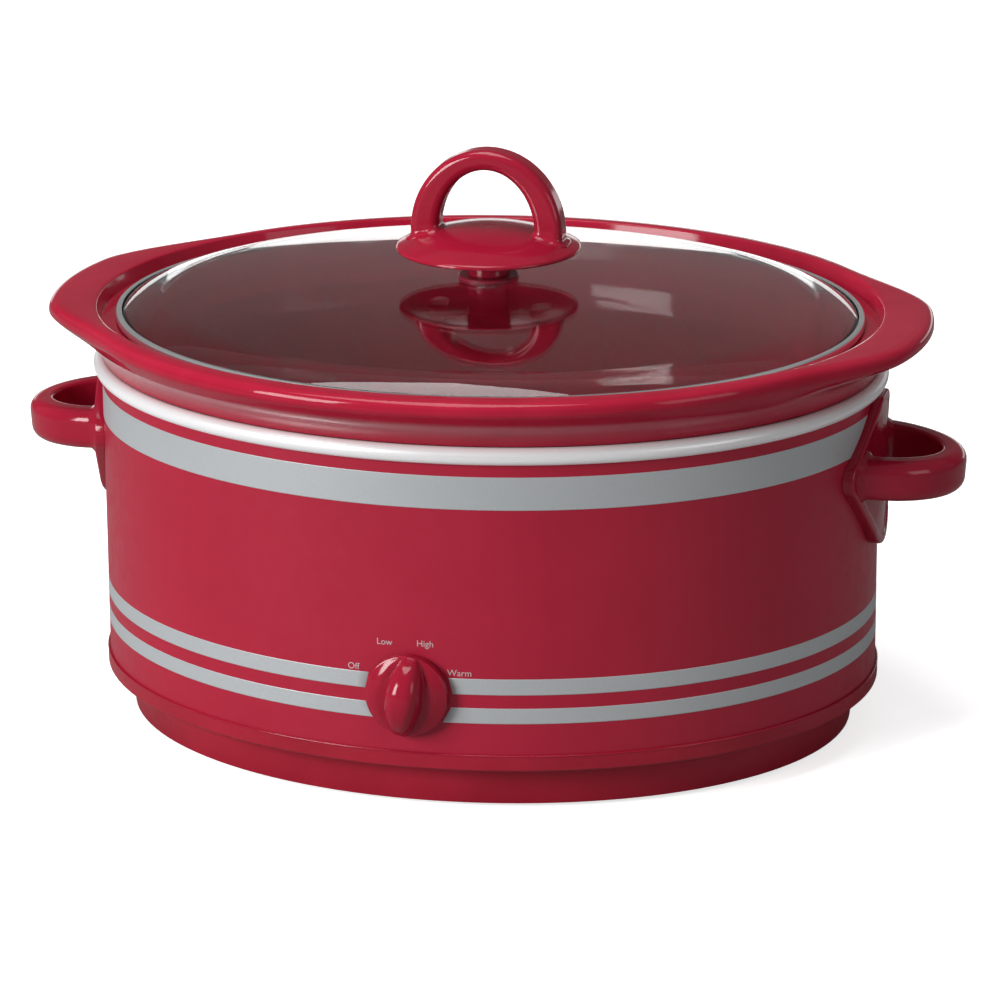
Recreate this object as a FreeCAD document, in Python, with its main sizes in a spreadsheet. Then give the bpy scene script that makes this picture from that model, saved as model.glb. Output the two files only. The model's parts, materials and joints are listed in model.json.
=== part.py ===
"""Oval slow cooker: heated base, stoneware crock and glass lid.

Millimetres. The origin is the bottom centre, X runs along the length (handle to handle), the knob
faces -Y and +Z is up. The plan of every shell is an ellipse: half_x along X, half_y along Y.
"""
import FreeCAD, Part
import Sketcher
import math
import os

from FreeCAD import Placement, Rotation, Vector

doc = FreeCAD.newDocument("SlowCooker")

SIZES = (
    ("case_x", 169.0, "painted casing, half length"),
    ("case_y", 141.3, "painted casing, half width"),
    ("case_foot", 27.0, "casing, lower edge"),
    ("case_head", 151.7, "casing, upper edge under the rolled rim"),
    ("sheet_wall", 0.9, "sheet metal of casing and well"),
    ("flange_x", 138.0, "casing bottom flange, inner half length"),
    ("flange_y", 131.0, "casing bottom flange, inner half width"),
    ("base_lip", 1.0, "base band, proud of the casing"),
    ("base_step", 20.0, "base, underside of its band"),
    ("base_low", 2.0, "base, underside"),
    ("base_inset", 8.5, "base skirt, in from the casing, at the step"),
    ("base_draft", 2.0, "base skirt, further in at the underside"),
    ("base_floor", 2.5, "base, thickness of its floor"),
    ("base_wall", 4.5, "base, thickness of its skirt at the step"),
    ("boss_out", 6.0, "base screw posts, in from the inside of the skirt"),
    ("foot_x", 99.0, "rubber feet, from the middle along X"),
    ("foot_y", 66.0, "rubber feet, from the middle along Y"),
    ("foot_radius", 9.0, "rubber foot"),
    ("foot_stem", 4.0, "rubber foot, radius of its stem"),
    ("well_low", 30.0, "heating well, underside"),
    ("well_low_x", 147.0, "heating well, inner half length at its floor"),
    ("well_low_y", 119.0, "heating well, inner half width at its floor"),
    ("well_x", 154.0, "heating well, inner half length at its ledge"),
    ("well_y", 126.5, "heating well, inner half width at its ledge"),
    ("well_corner", 12.0, "heating well, radius round its floor"),
    ("bead_z", 155.4, "rolled rim, height of its centre"),
    ("bead_radius", 3.6, "rolled rim"),
    ("crock_low", 31.9, "crock, underside"),
    ("crock_floor", 7.0, "crock, thickness of its floor"),
    ("crock_wall", 6.5, "crock, thickness of its wall"),
    ("crock_low_x", 143.0, "crock, half length of its wall at the floor"),
    ("crock_low_y", 115.0, "crock, half width of its wall at the floor"),
    ("crock_x", 151.0, "crock, half length of its wall under the rim"),
    ("crock_y", 123.0, "crock, half width of its wall under the rim"),
    ("crock_corner", 13.0, "crock, radius round its floor"),
    ("skirt_z", 159.3, "crock rim, lower edge, just above the rolled rim"),
    ("shoulder_x", 176.0, "crock rim, half length at its shoulder"),
    ("shoulder_y", 158.0, "crock rim, half width at its shoulder"),
    ("rim_top", 182.2, "crock rim, highest"),
    ("rim_in_x", 169.5, "crock rim, inner half length at the top"),
    ("rim_in_y", 147.0, "crock rim, inner half width at the top"),
    ("ear", 15.5, "crock ears, out from the shoulder at each end"),
    ("ear_flat", 35.0, "crock ears, half width of the straight end"),
    ("ear_end", 92.0, "crock ears, half width where they die into the rim"),
    ("ledge_z", 175.2, "crock ledge that carries the lid"),
    ("ledge_x", 168.0, "crock ledge, outer half length"),
    ("ledge_y", 145.6, "crock ledge, outer half width"),
    ("throat_x", 154.0, "crock mouth, half length"),
    ("throat_y", 131.6, "crock mouth, half width"),
    ("lid_z", 175.5, "lid, lowest"),
    ("lid_x", 162.0, "lid band, half length"),
    ("lid_y", 139.7, "lid band, half width"),
    ("band_high", 3.9, "lid band, height"),
    ("band_wall", 0.7, "lid band, thickness"),
    ("glass_wall", 3.8, "lid glass, thickness"),
    ("glass_top", 193.0, "lid glass, top"),
    ("grip_radius", 40.0, "lid handle, radius of its disc"),
    ("grip_edge", 206.0, "lid handle, underside of its disc"),
    ("grip_crown", 215.6, "lid handle, top of its disc"),
    ("grip_top", 249.8, "lid handle, top of its arch"),
    ("grip_foot", 213.5, "lid handle, centre height of its arch"),
    ("grip_out", 33.3, "lid handle, outer half width of its arch"),
    ("grip_in", 21.4, "lid handle, half width of its opening"),
    ("grip_in_top", 241.2, "lid handle, top of its opening"),
    ("grip_deep", 13.4, "lid handle, depth of its arch"),
    ("side_tip", 207.7, "side handle, furthest out"),
    ("side_half", 35.5, "side handle, half width of its loop"),
    ("side_root", 166.0, "side handle, centre of its loop"),
    ("side_gap_x", 31.0, "side handle, finger gap beyond the centre"),
    ("side_gap_y", 24.0, "side handle, half width of its finger gap"),
    ("side_z", 122.5, "side handle, mid height of its loop at the plate"),
    ("side_high", 17.6, "side handle, height of its loop"),
    ("plate_thick", 4.5, "side handle, thickness of its shield"),
    ("knob_z", 52.5, "control knob, height of its axis"),
    ("knob_radius", 17.4, "control knob"),
    ("knob_back", 141.9, "control knob, distance of its back face in front of the centre"),
    ("knob_deep", 16.1, "control knob, from its back face to its crest"),
    ("shaft_radius", 3.0, "switch shaft"),
    ("gland_z", 46.0, "cord bush, height of its axis"),
    ("gland_bore", 3.6, "cord bush, radius of its bore"),
    ("band_low", 74.0, "heater band, lower edge"),
    ("band_top", 112.0, "heater band, upper edge"),
    ("heater_thick", 1.6, "heater band"),
)

sheet = doc.addObject("Spreadsheet::Sheet", "Sizes")
for row, (alias, number, meaning) in enumerate(SIZES, start=1):
    sheet.set(f"A{row}", meaning)
    sheet.set(f"B{row}", str(number))
    sheet.setAlias(f"B{row}", alias)
doc.recompute()

KNOB_REST = 9.0          # degrees clockwise of straight up, seen from the front
PIP = 0.4                # radius of the tiny flat that a moulded dome ends in
HOLE = 3.8               # radius of the hole in the middle of the lid glass
PAN = 0.62               # height of a pan head, as a share of its radius
FRONT = Rotation(Vector(1, 0, 0), 90)    # turns +Z to -Y
BACK = Rotation(Vector(1, 0, 0), -90)    # turns +Z to +Y
RIGHT = Rotation(Vector(0, 1, 0), 90)    # turns +Z to +X
LEFT = Rotation(Vector(0, 1, 0), -90)    # turns +Z to -X
nodes = {}


# ---------------------------------------------------------------- helpers

def size(text):
    """The value of a sheet expression, or of a plain number."""
    if isinstance(text, str):
        return float(sheet.evalExpression(text))
    return float(text)


def S(alias):
    return size("Sizes." + alias)


def bind(thing, path, amount):
    """Sets a property from a number, or ties it to the sheet with an expression."""
    if isinstance(amount, str):
        thing.setExpression(path, amount)
    elif "." in path:
        thing.setExpression(path, repr(float(amount)))
    else:
        setattr(thing, path, amount)


def place(thing, at=(0, 0, 0), turn=None):
    """Puts an object at a point whose coordinates are numbers or expressions."""
    thing.Placement = Placement(Vector(*[size(c) for c in at]), turn or Rotation())
    for axis, amount in zip("xyz", at):
        if isinstance(amount, str):
            thing.setExpression(".Placement.Base." + axis, amount)
    return thing


def node(label, thing):
    """Names a finished sub-part."""
    thing.Label = label
    nodes[label] = thing
    return thing


def box(name, low, high):
    """A Part::Box between two corners."""
    block = doc.addObject("Part::Box", name)
    block.Length, block.Width, block.Height = [size(b) - size(a) for a, b in zip(low, high)]
    return place(block, low)


def rod(name, radius, length, at=(0, 0, 0), turn=None):
    cylinder = doc.addObject("Part::Cylinder", name)
    bind(cylinder, "Radius", radius)
    bind(cylinder, "Height", length)
    return place(cylinder, at, turn)


def cut(name, base, *tools):
    tool = tools[0] if len(tools) == 1 else fuse(name + "_tools", *tools)
    result = doc.addObject("Part::Cut", name)
    result.Base = base
    result.Tool = tool
    result.Refine = False
    return result


def fuse(name, *shapes):
    result = doc.addObject("Part::MultiFuse", name)
    result.Shapes = list(shapes)
    result.Refine = False
    return result


def common(name, *shapes):
    result = doc.addObject("Part::MultiCommon", name)
    result.Shapes = list(shapes)
    result.Refine = False
    return result


def group(name, *shapes):
    """Loose pieces of one kind that share a node."""
    result = doc.addObject("Part::Compound", name)
    result.Links = list(shapes)
    return result


def rounded(name, base, radius, chosen):
    """Part::Fillet on the edges for which chosen(edge) is true."""
    doc.recompute()
    result = doc.addObject("Part::Fillet", name)
    result.Base = base
    result.Edges = [(i, radius, radius) for i, edge in enumerate(base.Shape.Edges, 1) if chosen(edge)]
    doc.recompute()
    return result


def level(height, slack=0.05):
    """Chooses the edges that lie flat at one height."""
    return lambda edge: (abs(edge.BoundBox.ZMin - height) < slack
                         and abs(edge.BoundBox.ZMax - height) < slack)


def oval(name, half_x, half_y, height):
    ring = doc.addObject("Part::Ellipse", name)
    bind(ring, "MajorRadius", half_x)
    bind(ring, "MinorRadius", half_y)
    return place(ring, (0, 0, height))


def oval_solid(name, *sections, smooth=False):
    """A solid through level ellipses, each (half_x, half_y, height)."""
    loft = doc.addObject("Part::Loft", name)
    loft.Sections = [oval(f"{name}_{i}", *section) for i, section in enumerate(sections, 1)]
    loft.Solid = True
    loft.Ruled = not smooth
    return loft


def extruded(name, ring, direction, length, both_ways=True):
    """A closed curve drawn out to a solid, evenly both ways or one way."""
    result = doc.addObject("Part::Extrusion", name)
    result.Base = ring
    result.DirMode = "Custom"
    result.Dir = direction
    bind(result, "LengthFwd", length)
    result.Symmetric = both_ways
    result.Solid = True
    return result


def oval_prism(name, half_x, half_y, low, high):
    """An upright elliptical block between two heights."""
    return extruded(name, oval(name + "_ring", half_x, half_y, low), Vector(0, 0, 1),
                    f"({high}) - ({low})", both_ways=False)


def round_foot(half_x, half_y, low, radius, steps=4):
    """Sections that lead from a floor round a corner into a wall: (half_x, half_y, height)."""
    sections = []
    for i in range(steps):
        turn = math.radians(90 * i / steps)
        inwards, up = radius * (1 - math.sin(turn)), radius * (1 - math.cos(turn))
        sections.append((f"{half_x} - {inwards:.3f}", f"{half_y} - {inwards:.3f}", f"{low} + {up:.3f}"))
    return sections


def body(name, at=(0, 0, 0), turn=None):
    return place(doc.addObject("PartDesign::Body", name), at, turn)


def sketch(owner, name, plane="XY_Plane", lift=0):
    """A sketch on one of its own body's origin planes, lifted along that plane's normal."""
    result = owner.newObject("Sketcher::SketchObject", name)
    origin = next(f for f in owner.Origin.OriginFeatures if f.Role == plane)
    result.AttachmentSupport = [(origin, "")]
    result.MapMode = "FlatFace"
    if lift:
        bind(result, ".AttachmentOffset.Base.z", lift)
    return result


def pin_point(drawing, curve, end, across, up):
    """Fixes a sketch point at coordinates that are numbers or expressions."""
    for kind, axis, amount in (("DistanceX", -2, across), ("DistanceY", -1, up)):
        if not isinstance(amount, str) and amount == 0:
            drawing.addConstraint(Sketcher.Constraint("PointOnObject", curve, end, axis))
            continue
        index = drawing.addConstraint(Sketcher.Constraint(kind, -1, 1, curve, end, size(amount)))
        if isinstance(amount, str):
            drawing.setExpression(f"Constraints[{index}]", amount)


def arc_through(a, b, bulge):
    """The arc between two points whose middle stands out by bulge to the right of the way from a to b.
    A sketch keeps its arcs anticlockwise, so the arc may start at b."""
    side = Vector(b.y - a.y, a.x - b.x, 0).normalize()
    half = (b - a).Length / 2
    radius = (half * half + bulge * bulge) / (2 * abs(bulge))
    centre = (a + b) * 0.5 + side * (bulge - math.copysign(radius, bulge))
    start, end = (a, b) if bulge > 0 else (b, a)
    angles = [math.atan2(p.y - centre.y, p.x - centre.x) for p in (start, end)]
    return Part.ArcOfCircle(Part.Circle(centre, Vector(0, 0, 1), radius), *angles)


def outline(drawing, *points):
    """A closed chain of straight lines. A point (x, y, bulge) is reached along an arc that stands
    out by bulge from the straight line, to the right of the way it runs."""
    first = drawing.GeometryCount
    count = len(points)
    corners = [Vector(size(p[0]), size(p[1]), 0) for p in points]
    ends = []
    for i in range(count):
        target = points[(i + 1) % count]
        a, b = corners[i], corners[(i + 1) % count]
        bulge = size(target[2]) if len(target) == 3 else 0
        drawing.addGeometry(arc_through(a, b, bulge) if bulge else Part.LineSegment(a, b))
        ends.append((2, 1) if bulge < 0 else (1, 2))
    for i in range(count):
        following = (i + 1) % count
        drawing.addConstraint(Sketcher.Constraint("Coincident", first + i, ends[i][1],
                                                  first + following, ends[following][0]))
    for i in range(count):
        pin_point(drawing, first + i, ends[i][0], points[i][0], points[i][1])
        curve = drawing.Geometry[first + i]
        if hasattr(curve, "Radius"):
            drawing.addConstraint(Sketcher.Constraint("Radius", first + i, curve.Radius))


def circle(drawing, across, up, radius):
    middle = Vector(size(across), size(up), 0)
    curve = drawing.addGeometry(Part.Circle(middle, Vector(0, 0, 1), size(radius)))
    pin_point(drawing, curve, 3, across, up)
    index = drawing.addConstraint(Sketcher.Constraint("Radius", curve, size(radius)))
    if isinstance(radius, str):
        drawing.setExpression(f"Constraints[{index}]", radius)


def pad(owner, name, drawing, length, both_ways=False):
    feature = owner.newObject("PartDesign::Pad", name)
    feature.Profile = drawing
    bind(feature, "Length", length)
    feature.Midplane = both_ways
    return feature


def turned(owner, name, drawing, axis="V_Axis"):
    feature = owner.newObject("PartDesign::Revolution", name)
    feature.Profile = drawing
    feature.ReferenceAxis = (drawing, [axis])
    feature.Angle = 360
    return feature


def pocket(owner, name, drawing, length, reverse=False, both_ways=False):
    """A Pocket that must take material away."""
    doc.recompute()
    before = owner.Shape.Volume
    feature = owner.newObject("PartDesign::Pocket", name)
    feature.Profile = drawing
    bind(feature, "Length", length)
    feature.Reversed = reverse
    feature.Midplane = both_ways
    doc.recompute()
    if not owner.Shape.Volume < before - 0.01:
        raise ValueError(f"{name} cut nothing")
    return feature


def spun(label, at, turn, *points):
    """A body turned about its own Z axis from an outline of (radius, height) points."""
    owner = body(label, at, turn)
    drawing = sketch(owner, label + "_profile", "XZ_Plane")
    outline(drawing, *points)
    turned(owner, label + "_turned", drawing)
    return owner


def pan_screw(name, at, turn, head, shank, length, drive=True):
    """A pan-head screw with its head at the bottom, its shank up its own Z and a cross recess."""
    high = head * PAN
    owner = body(name, at, turn)
    drawing = sketch(owner, name + "_profile", "XZ_Plane")
    outline(drawing, (0, 0), (head * 0.7, 0), (head, high * 0.45, head * 0.12), (head, high),
            (shank, high), (shank, length - shank), (shank * 0.3, length), (0, length))
    turned(owner, name + "_turned", drawing)
    if drive:
        cross = sketch(owner, name + "_cross")
        arm, half = head * 0.55, head * 0.11
        outline(cross, (-arm, -half), (-half, -half), (-half, -arm), (half, -arm), (half, -half), (arm, -half),
                (arm, half), (half, half), (half, arm), (-half, arm), (-half, half), (-arm, half))
        pocket(owner, name + "_recess", cross, high * 0.6, reverse=True)
    return owner


def solid(name, shape, at=(0, 0, 0)):
    """A Part::Feature for a form that no feature above makes."""
    thing = doc.addObject("Part::Feature", name)
    thing.Shape = shape
    return place(thing, at)


# ---------------------------------------------------------------- casing and base

HANDLE_SCREW_HEIGHTS = (100.0, 139.0)
POST_ANGLES = (38, 142, 218, 322)        # where the base is screwed up, degrees round from +X
POST_INSET = S("base_inset") + S("base_wall") + S("boss_out")
POST_PLACES = [((S("case_x") - POST_INSET) * math.cos(math.radians(turn)),
                (S("case_y") - POST_INSET) * math.sin(math.radians(turn))) for turn in POST_ANGLES]
FOOT_PLACES = {f"rubber_foot_{depth}_{side}": (x * S("foot_x"), y * S("foot_y"))
               for side, x in (("left", -1), ("right", 1)) for depth, y in (("front", -1), ("rear", 1))}


def outer_casing():
    """A sheet steel wrap with a turned-in bottom flange and holes for what is fixed to it."""
    wall = "Sizes.sheet_wall"
    shell = oval_prism("casing_outside", "Sizes.case_x", "Sizes.case_y", "Sizes.case_foot", "Sizes.case_head")
    inside = oval_prism("casing_inside", f"Sizes.case_x - {wall}", f"Sizes.case_y - {wall}",
                        f"Sizes.case_foot + {wall}", "Sizes.case_head + 1")
    mouth = oval_prism("casing_flange_mouth", "Sizes.flange_x", "Sizes.flange_y",
                       "Sizes.case_foot - 1", "Sizes.case_foot + 2")
    switch_hole, cord_hole, handle_hole, post_hole = 5.3, 6.4, 2.1, 1.5
    holes = [rod("casing_switch_hole", switch_hole, 20, (0, "-Sizes.case_y + 10", "Sizes.knob_z"), FRONT),
             rod("casing_cord_hole", cord_hole, 20, (0, "Sizes.case_y - 10", "Sizes.gland_z"), BACK)]
    for i, height in enumerate(HANDLE_SCREW_HEIGHTS):
        holes.append(rod(f"casing_handle_holes_{i}", handle_hole, 400, (-200, 0, height), RIGHT))
    for i, (x, y) in enumerate(POST_PLACES):
        holes.append(rod(f"casing_post_hole_{i}", post_hole, 6, (x, y, "Sizes.case_foot - 2")))
    node("outer_casing", cut("outer_casing", shell, inside, mouth, *holes))


def base_tub():
    low, step, foot = "Sizes.base_low", "Sizes.base_step", "Sizes.case_foot"
    skirt = oval_solid("base_skirt",
                       ("Sizes.case_x - Sizes.base_inset - Sizes.base_draft",
                        "Sizes.case_y - Sizes.base_inset - Sizes.base_draft", low),
                       ("Sizes.case_x - Sizes.base_inset", "Sizes.case_y - Sizes.base_inset", step))
    band = oval_solid("base_band",
                      ("Sizes.case_x + Sizes.base_lip - 0.8", "Sizes.case_y + Sizes.base_lip - 0.8", step),
                      ("Sizes.case_x + Sizes.base_lip", "Sizes.case_y + Sizes.base_lip", f"{step} + 0.8"),
                      ("Sizes.case_x + Sizes.base_lip", "Sizes.case_y + Sizes.base_lip", f"{foot} - 0.6"),
                      ("Sizes.case_x + Sizes.base_lip - 0.6", "Sizes.case_y + Sizes.base_lip - 0.6", foot))
    hollow = oval_solid("base_hollow",
                        ("Sizes.case_x - Sizes.base_inset - Sizes.base_wall - 2",
                         "Sizes.case_y - Sizes.base_inset - Sizes.base_wall - 2", f"{low} + Sizes.base_floor"),
                        ("Sizes.case_x - Sizes.base_inset - Sizes.base_wall",
                         "Sizes.case_y - Sizes.base_inset - Sizes.base_wall", f"{foot} + 1"))
    tub = cut("base_shell", fuse("base_outside", skirt, band), hollow)
    posts = [rod(f"base_post_{i}", 5.0, f"{foot} - {low} - 0.5", (x, y, f"{low} + 0.5"))
             for i, (x, y) in enumerate(POST_PLACES)]
    posts.append(rod("base_middle_post", 7.0, 14.0, (0, 0, f"{low} + 0.5")))
    holes = []
    for i, (x, y) in enumerate(POST_PLACES + [(0.0, 0.0)]):
        holes.append(rod(f"base_screw_way_{i}", 1.9, 40, (x, y, 0)))
        holes.append(rod(f"base_screw_seat_{i}", 3.8, f"{low} + 5", (x, y, 0)))
    for i, (x, y) in enumerate(FOOT_PLACES.values()):
        holes.append(rod(f"base_foot_hole_{i}", "Sizes.foot_stem", 10, (x, y, 0)))
    for i in range(9):
        for side in (-1, 1):
            x = (i - 4) * 14.0
            holes.append(box(f"base_vent_{i}_{side + 1}", (x - 2, side * 42 - 16, 0), (x + 2, side * 42 + 16, 10)))
    node("base_tub", cut("base_tub", fuse("base_with_posts", tub, *posts), *holes))
    screws = [pan_screw(f"base_screw_{i}", (x, y, "Sizes.base_low + 3.14"), None, 3.0, 1.5, 25.0)
              for i, (x, y) in enumerate(POST_PLACES)]
    node("base_screws", group("base_screws", *screws))


def rubber_feet():
    for name, (x, y) in FOOT_PLACES.items():
        stem, wide = "Sizes.foot_stem", "Sizes.foot_radius"
        node(name, spun(name, (x, y, 0), None,
                        (0, 0), (f"{wide} - 1", 0), (wide, 1.0, 0.25), (wide, "Sizes.base_low"),
                        (stem, "Sizes.base_low"), (stem, "Sizes.base_low + Sizes.base_floor"),
                        (f"{stem} + 1.0", "Sizes.base_low + Sizes.base_floor + 0.05"),
                        (f"{stem} - 1.2", "Sizes.base_low + Sizes.base_floor + 3"),
                        (0, "Sizes.base_low + Sizes.base_floor + 3")))


# ---------------------------------------------------------------- heating well and heater

def well_half(height, thickness=0.0):
    """Half length and half width of the well's wall at a height, measured on its inside."""
    share = (height - S("well_low")) / (S("bead_z") - S("bead_radius") - S("well_low"))
    return (S("well_low_x") + share * (S("well_x") - S("well_low_x")) + thickness,
            S("well_low_y") + share * (S("well_y") - S("well_low_y")) + thickness)


def band_face(x, height):
    """How far from the middle, along Y, the outside of the heater band stands at x."""
    half_x, half_y = well_half(height, S("sheet_wall") + S("heater_thick"))
    return half_y * math.sqrt(1 - (x / half_x) ** 2)


def heating_well():
    """A drawn liner whose rim is rolled into a bead over the top of the casing."""
    wall = "Sizes.sheet_wall"
    ledge = "Sizes.bead_z - Sizes.bead_radius - 0.1"
    outside = oval_solid("well_outside",
                         *round_foot(f"Sizes.well_low_x + {wall}", f"Sizes.well_low_y + {wall}", "Sizes.well_low",
                                     S("well_corner")),
                         (f"Sizes.well_x + {wall}", f"Sizes.well_y + {wall}", f"{ledge} + {wall}"))
    inside = oval_solid("well_inside",
                        *round_foot("Sizes.well_low_x", "Sizes.well_low_y", f"Sizes.well_low + {wall}",
                                    S("well_corner") - S("sheet_wall")),
                        ("Sizes.well_x", "Sizes.well_y", f"{ledge} + {wall}"),
                        ("Sizes.well_x", "Sizes.well_y", f"{ledge} + 10"))
    shelf = oval_solid("well_shelf",
                       ("Sizes.case_x - 1.2", "Sizes.case_y - 1.2", ledge),
                       ("Sizes.case_x - 1.2", "Sizes.case_y - 1.2", f"{ledge} + {wall}"))
    halves = []
    for name, way in (("well_bead_outside", 1), ("well_bead_inside", -1)):
        sections = []
        for i in range(-4, 5):
            turn = math.radians(22.5 * i)
            out, up = way * math.cos(turn), math.sin(turn)
            sections.append((f"Sizes.case_x + Sizes.bead_radius * {out:.4f}",
                             f"Sizes.case_y + Sizes.bead_radius * {out:.4f}",
                             f"Sizes.bead_z + Sizes.bead_radius * {up:.4f}"))
        halves.append(oval_solid(name, *sections))
    bead = cut("well_bead", *halves)
    node("heating_well", cut("heating_well", fuse("well_outside_all", outside, shelf, bead), inside))


def heater():
    """A flat band round the well, held by two straps whose bent ends are drawn together by bolts."""
    low, top = S("band_low"), S("band_top")
    thick, wall, strap, strap_high = S("heater_thick"), S("sheet_wall"), 0.8, 6.0
    ear_in, ear_out, ear_reach = 14.0, 15.2, 8.0
    bolt_radius, bolt_head, bolt_length, bolt_out = 1.2, 2.6, 34.0, 4.6

    def ring(name, extra, z0, z1):
        return oval_solid(name, (*well_half(z0, wall + extra), z0), (*well_half(z1, wall + extra), z1))

    band_gap = box("heater_gap", (-9, 100, low - 5), (9, 160, top + 5))
    node("heater_band", cut("heater_band", ring("heater_outside", thick, low, top),
                            ring("heater_inside", 0, low, top), band_gap))
    straps, ears, bolts = [], [], []
    for i, z in enumerate((low + strap_high, top - 2 * strap_high)):
        strap_gap = box(f"clamp_gap_{i}", (-ear_out, 100, z - 1), (ear_out, 160, z + strap_high + 1))
        straps.append(cut(f"clamp_strap_{i}", ring(f"clamp_outside_{i}", thick + strap, z, z + strap_high),
                          ring(f"clamp_inside_{i}", thick, z, z + strap_high), strap_gap))
        face = band_face(ear_in, z + strap_high)
        bolt_y, bolt_z = face + bolt_out, z + strap_high / 2
        hole = rod(f"clamp_hole_{i}", bolt_radius + 0.1, 2 * ear_out + 4, (-ear_out - 2, bolt_y, bolt_z), RIGHT)
        blanks = [box(f"clamp_ear_{i}_{side + 1}", (min(side * ear_in, side * ear_out), face + 0.05, z),
                      (max(side * ear_in, side * ear_out), face + ear_reach, z + strap_high)) for side in (-1, 1)]
        ears.append(cut(f"clamp_ears_{i}", group(f"clamp_ear_blanks_{i}", *blanks), hole))
        bolts.append(pan_screw(f"clamp_bolt_{i}", (-ear_out - bolt_head * PAN, bolt_y, bolt_z), RIGHT,
                               bolt_head, bolt_radius, bolt_length))
    node("heater_clamp_straps", group("heater_clamp_straps", *straps))
    node("heater_clamp_ears", group("heater_clamp_ears", *ears))
    node("clamp_bolts", group("clamp_bolts", *bolts))


def tie_bracket():
    """The hat-shaped strap under the well that the middle screw of the base pulls on."""
    low, top, thick = 16.5, S("well_low"), 1.2
    owner = body("tie_bracket")
    drawing = sketch(owner, "tie_profile", "XZ_Plane")
    outline(drawing, (-44, top - thick), (-29, top - thick), (-21, low), (21, low), (29, top - thick),
            (44, top - thick), (44, top), (28.4, top), (20.4, low + thick), (-20.4, low + thick),
            (-28.4, top), (-44, top))
    pad(owner, "tie_pad", drawing, 18, both_ways=True)
    hole = sketch(owner, "tie_hole_sketch", lift=low)
    circle(hole, 0, 0, 1.5)
    pocket(owner, "tie_hole", hole, thick * 2, reverse=True)
    node("tie_bracket", owner)
    node("tie_screw", pan_screw("tie_screw", (0, 0, "Sizes.base_low + 3.14"), None, 3.0, 1.5, 15.0))


# ---------------------------------------------------------------- thermal fuse and wiring

FUSE = (0.0, -60.0, 26.8)
LEAD_RADIUS = 1.1
TAB_Y = -126.5
TAB_FOOT = 31.0
CRIMP_Y = 104.0


def thermal_fuse():
    x, y, z = FUSE
    node("thermal_fuse", fuse("thermal_fuse", rod("fuse_can", 2.0, 14, (x - 7, y, z), RIGHT),
                              rod("fuse_wires", 0.5, 38, (x - 19, y, z), RIGHT)))
    node("fuse_sleeve", cut("fuse_sleeve", rod("sleeve_outside", 3.0, 38, (x - 19, y, z), RIGHT),
                            rod("sleeve_inside", 2.05, 40, (x - 20, y, z), RIGHT)))
    top = S("well_low")
    saddle = cut("clip_saddle", rod("clip_outside", 3.8, 10, (x - 5, y, z), RIGHT),
                 rod("clip_inside", 3.05, 12, (x - 6, y, z), RIGHT),
                 box("clip_trim", (x - 6, y - 5, z + 2.2), (x + 6, y + 5, z + 5)))
    wings = [box(f"clip_wing_{i}", (x - 5, y + a, top - 1.0), (x + 5, y + b, top)) for i, (a, b) in
             enumerate(((-8.5, -2.4), (2.4, 8.5)))]
    trimmed = cut("clip_wings", fuse("clip_wings_all", *wings), rod("clip_room", 3.05, 12, (x - 6, y, z), RIGHT))
    node("fuse_clip", fuse("fuse_clip", saddle, trimmed))


def lead(label, *points):
    """An insulated wire: straight runs joined by tangent arcs as large as the runs allow."""
    stops = [Vector(*p) for p in points]
    edges, last = [], stops[0]
    for before, corner, after in zip(stops, stops[1:], stops[2:]):
        back, ahead = before - corner, after - corner
        reach = 0.45 * min(back.Length, ahead.Length)
        half = back.getAngle(ahead) / 2
        back.normalize()
        ahead.normalize()
        bisector = (back + ahead).normalize()
        start, end = corner + back * reach, corner + ahead * reach
        nearest = corner + bisector * (reach / math.cos(half) - reach * math.tan(half))
        edges += [Part.LineSegment(last, start).toShape(), Part.Arc(start, nearest, end).toShape()]
        last = end
    edges.append(Part.LineSegment(last, stops[-1]).toShape())
    path = Part.Wire(edges)
    section = Part.Wire(Part.Circle(stops[0], stops[1] - stops[0], LEAD_RADIUS).toShape())
    tube = path.makePipeShell([section], True, False)
    expected = math.pi * LEAD_RADIUS ** 2 * path.Length
    if abs(tube.Volume - expected) > 0.02 * expected:
        raise ValueError(f"{label} volume {tube.Volume:.1f}, expected {expected:.1f}")
    return node(label, solid(label, tube))


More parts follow.
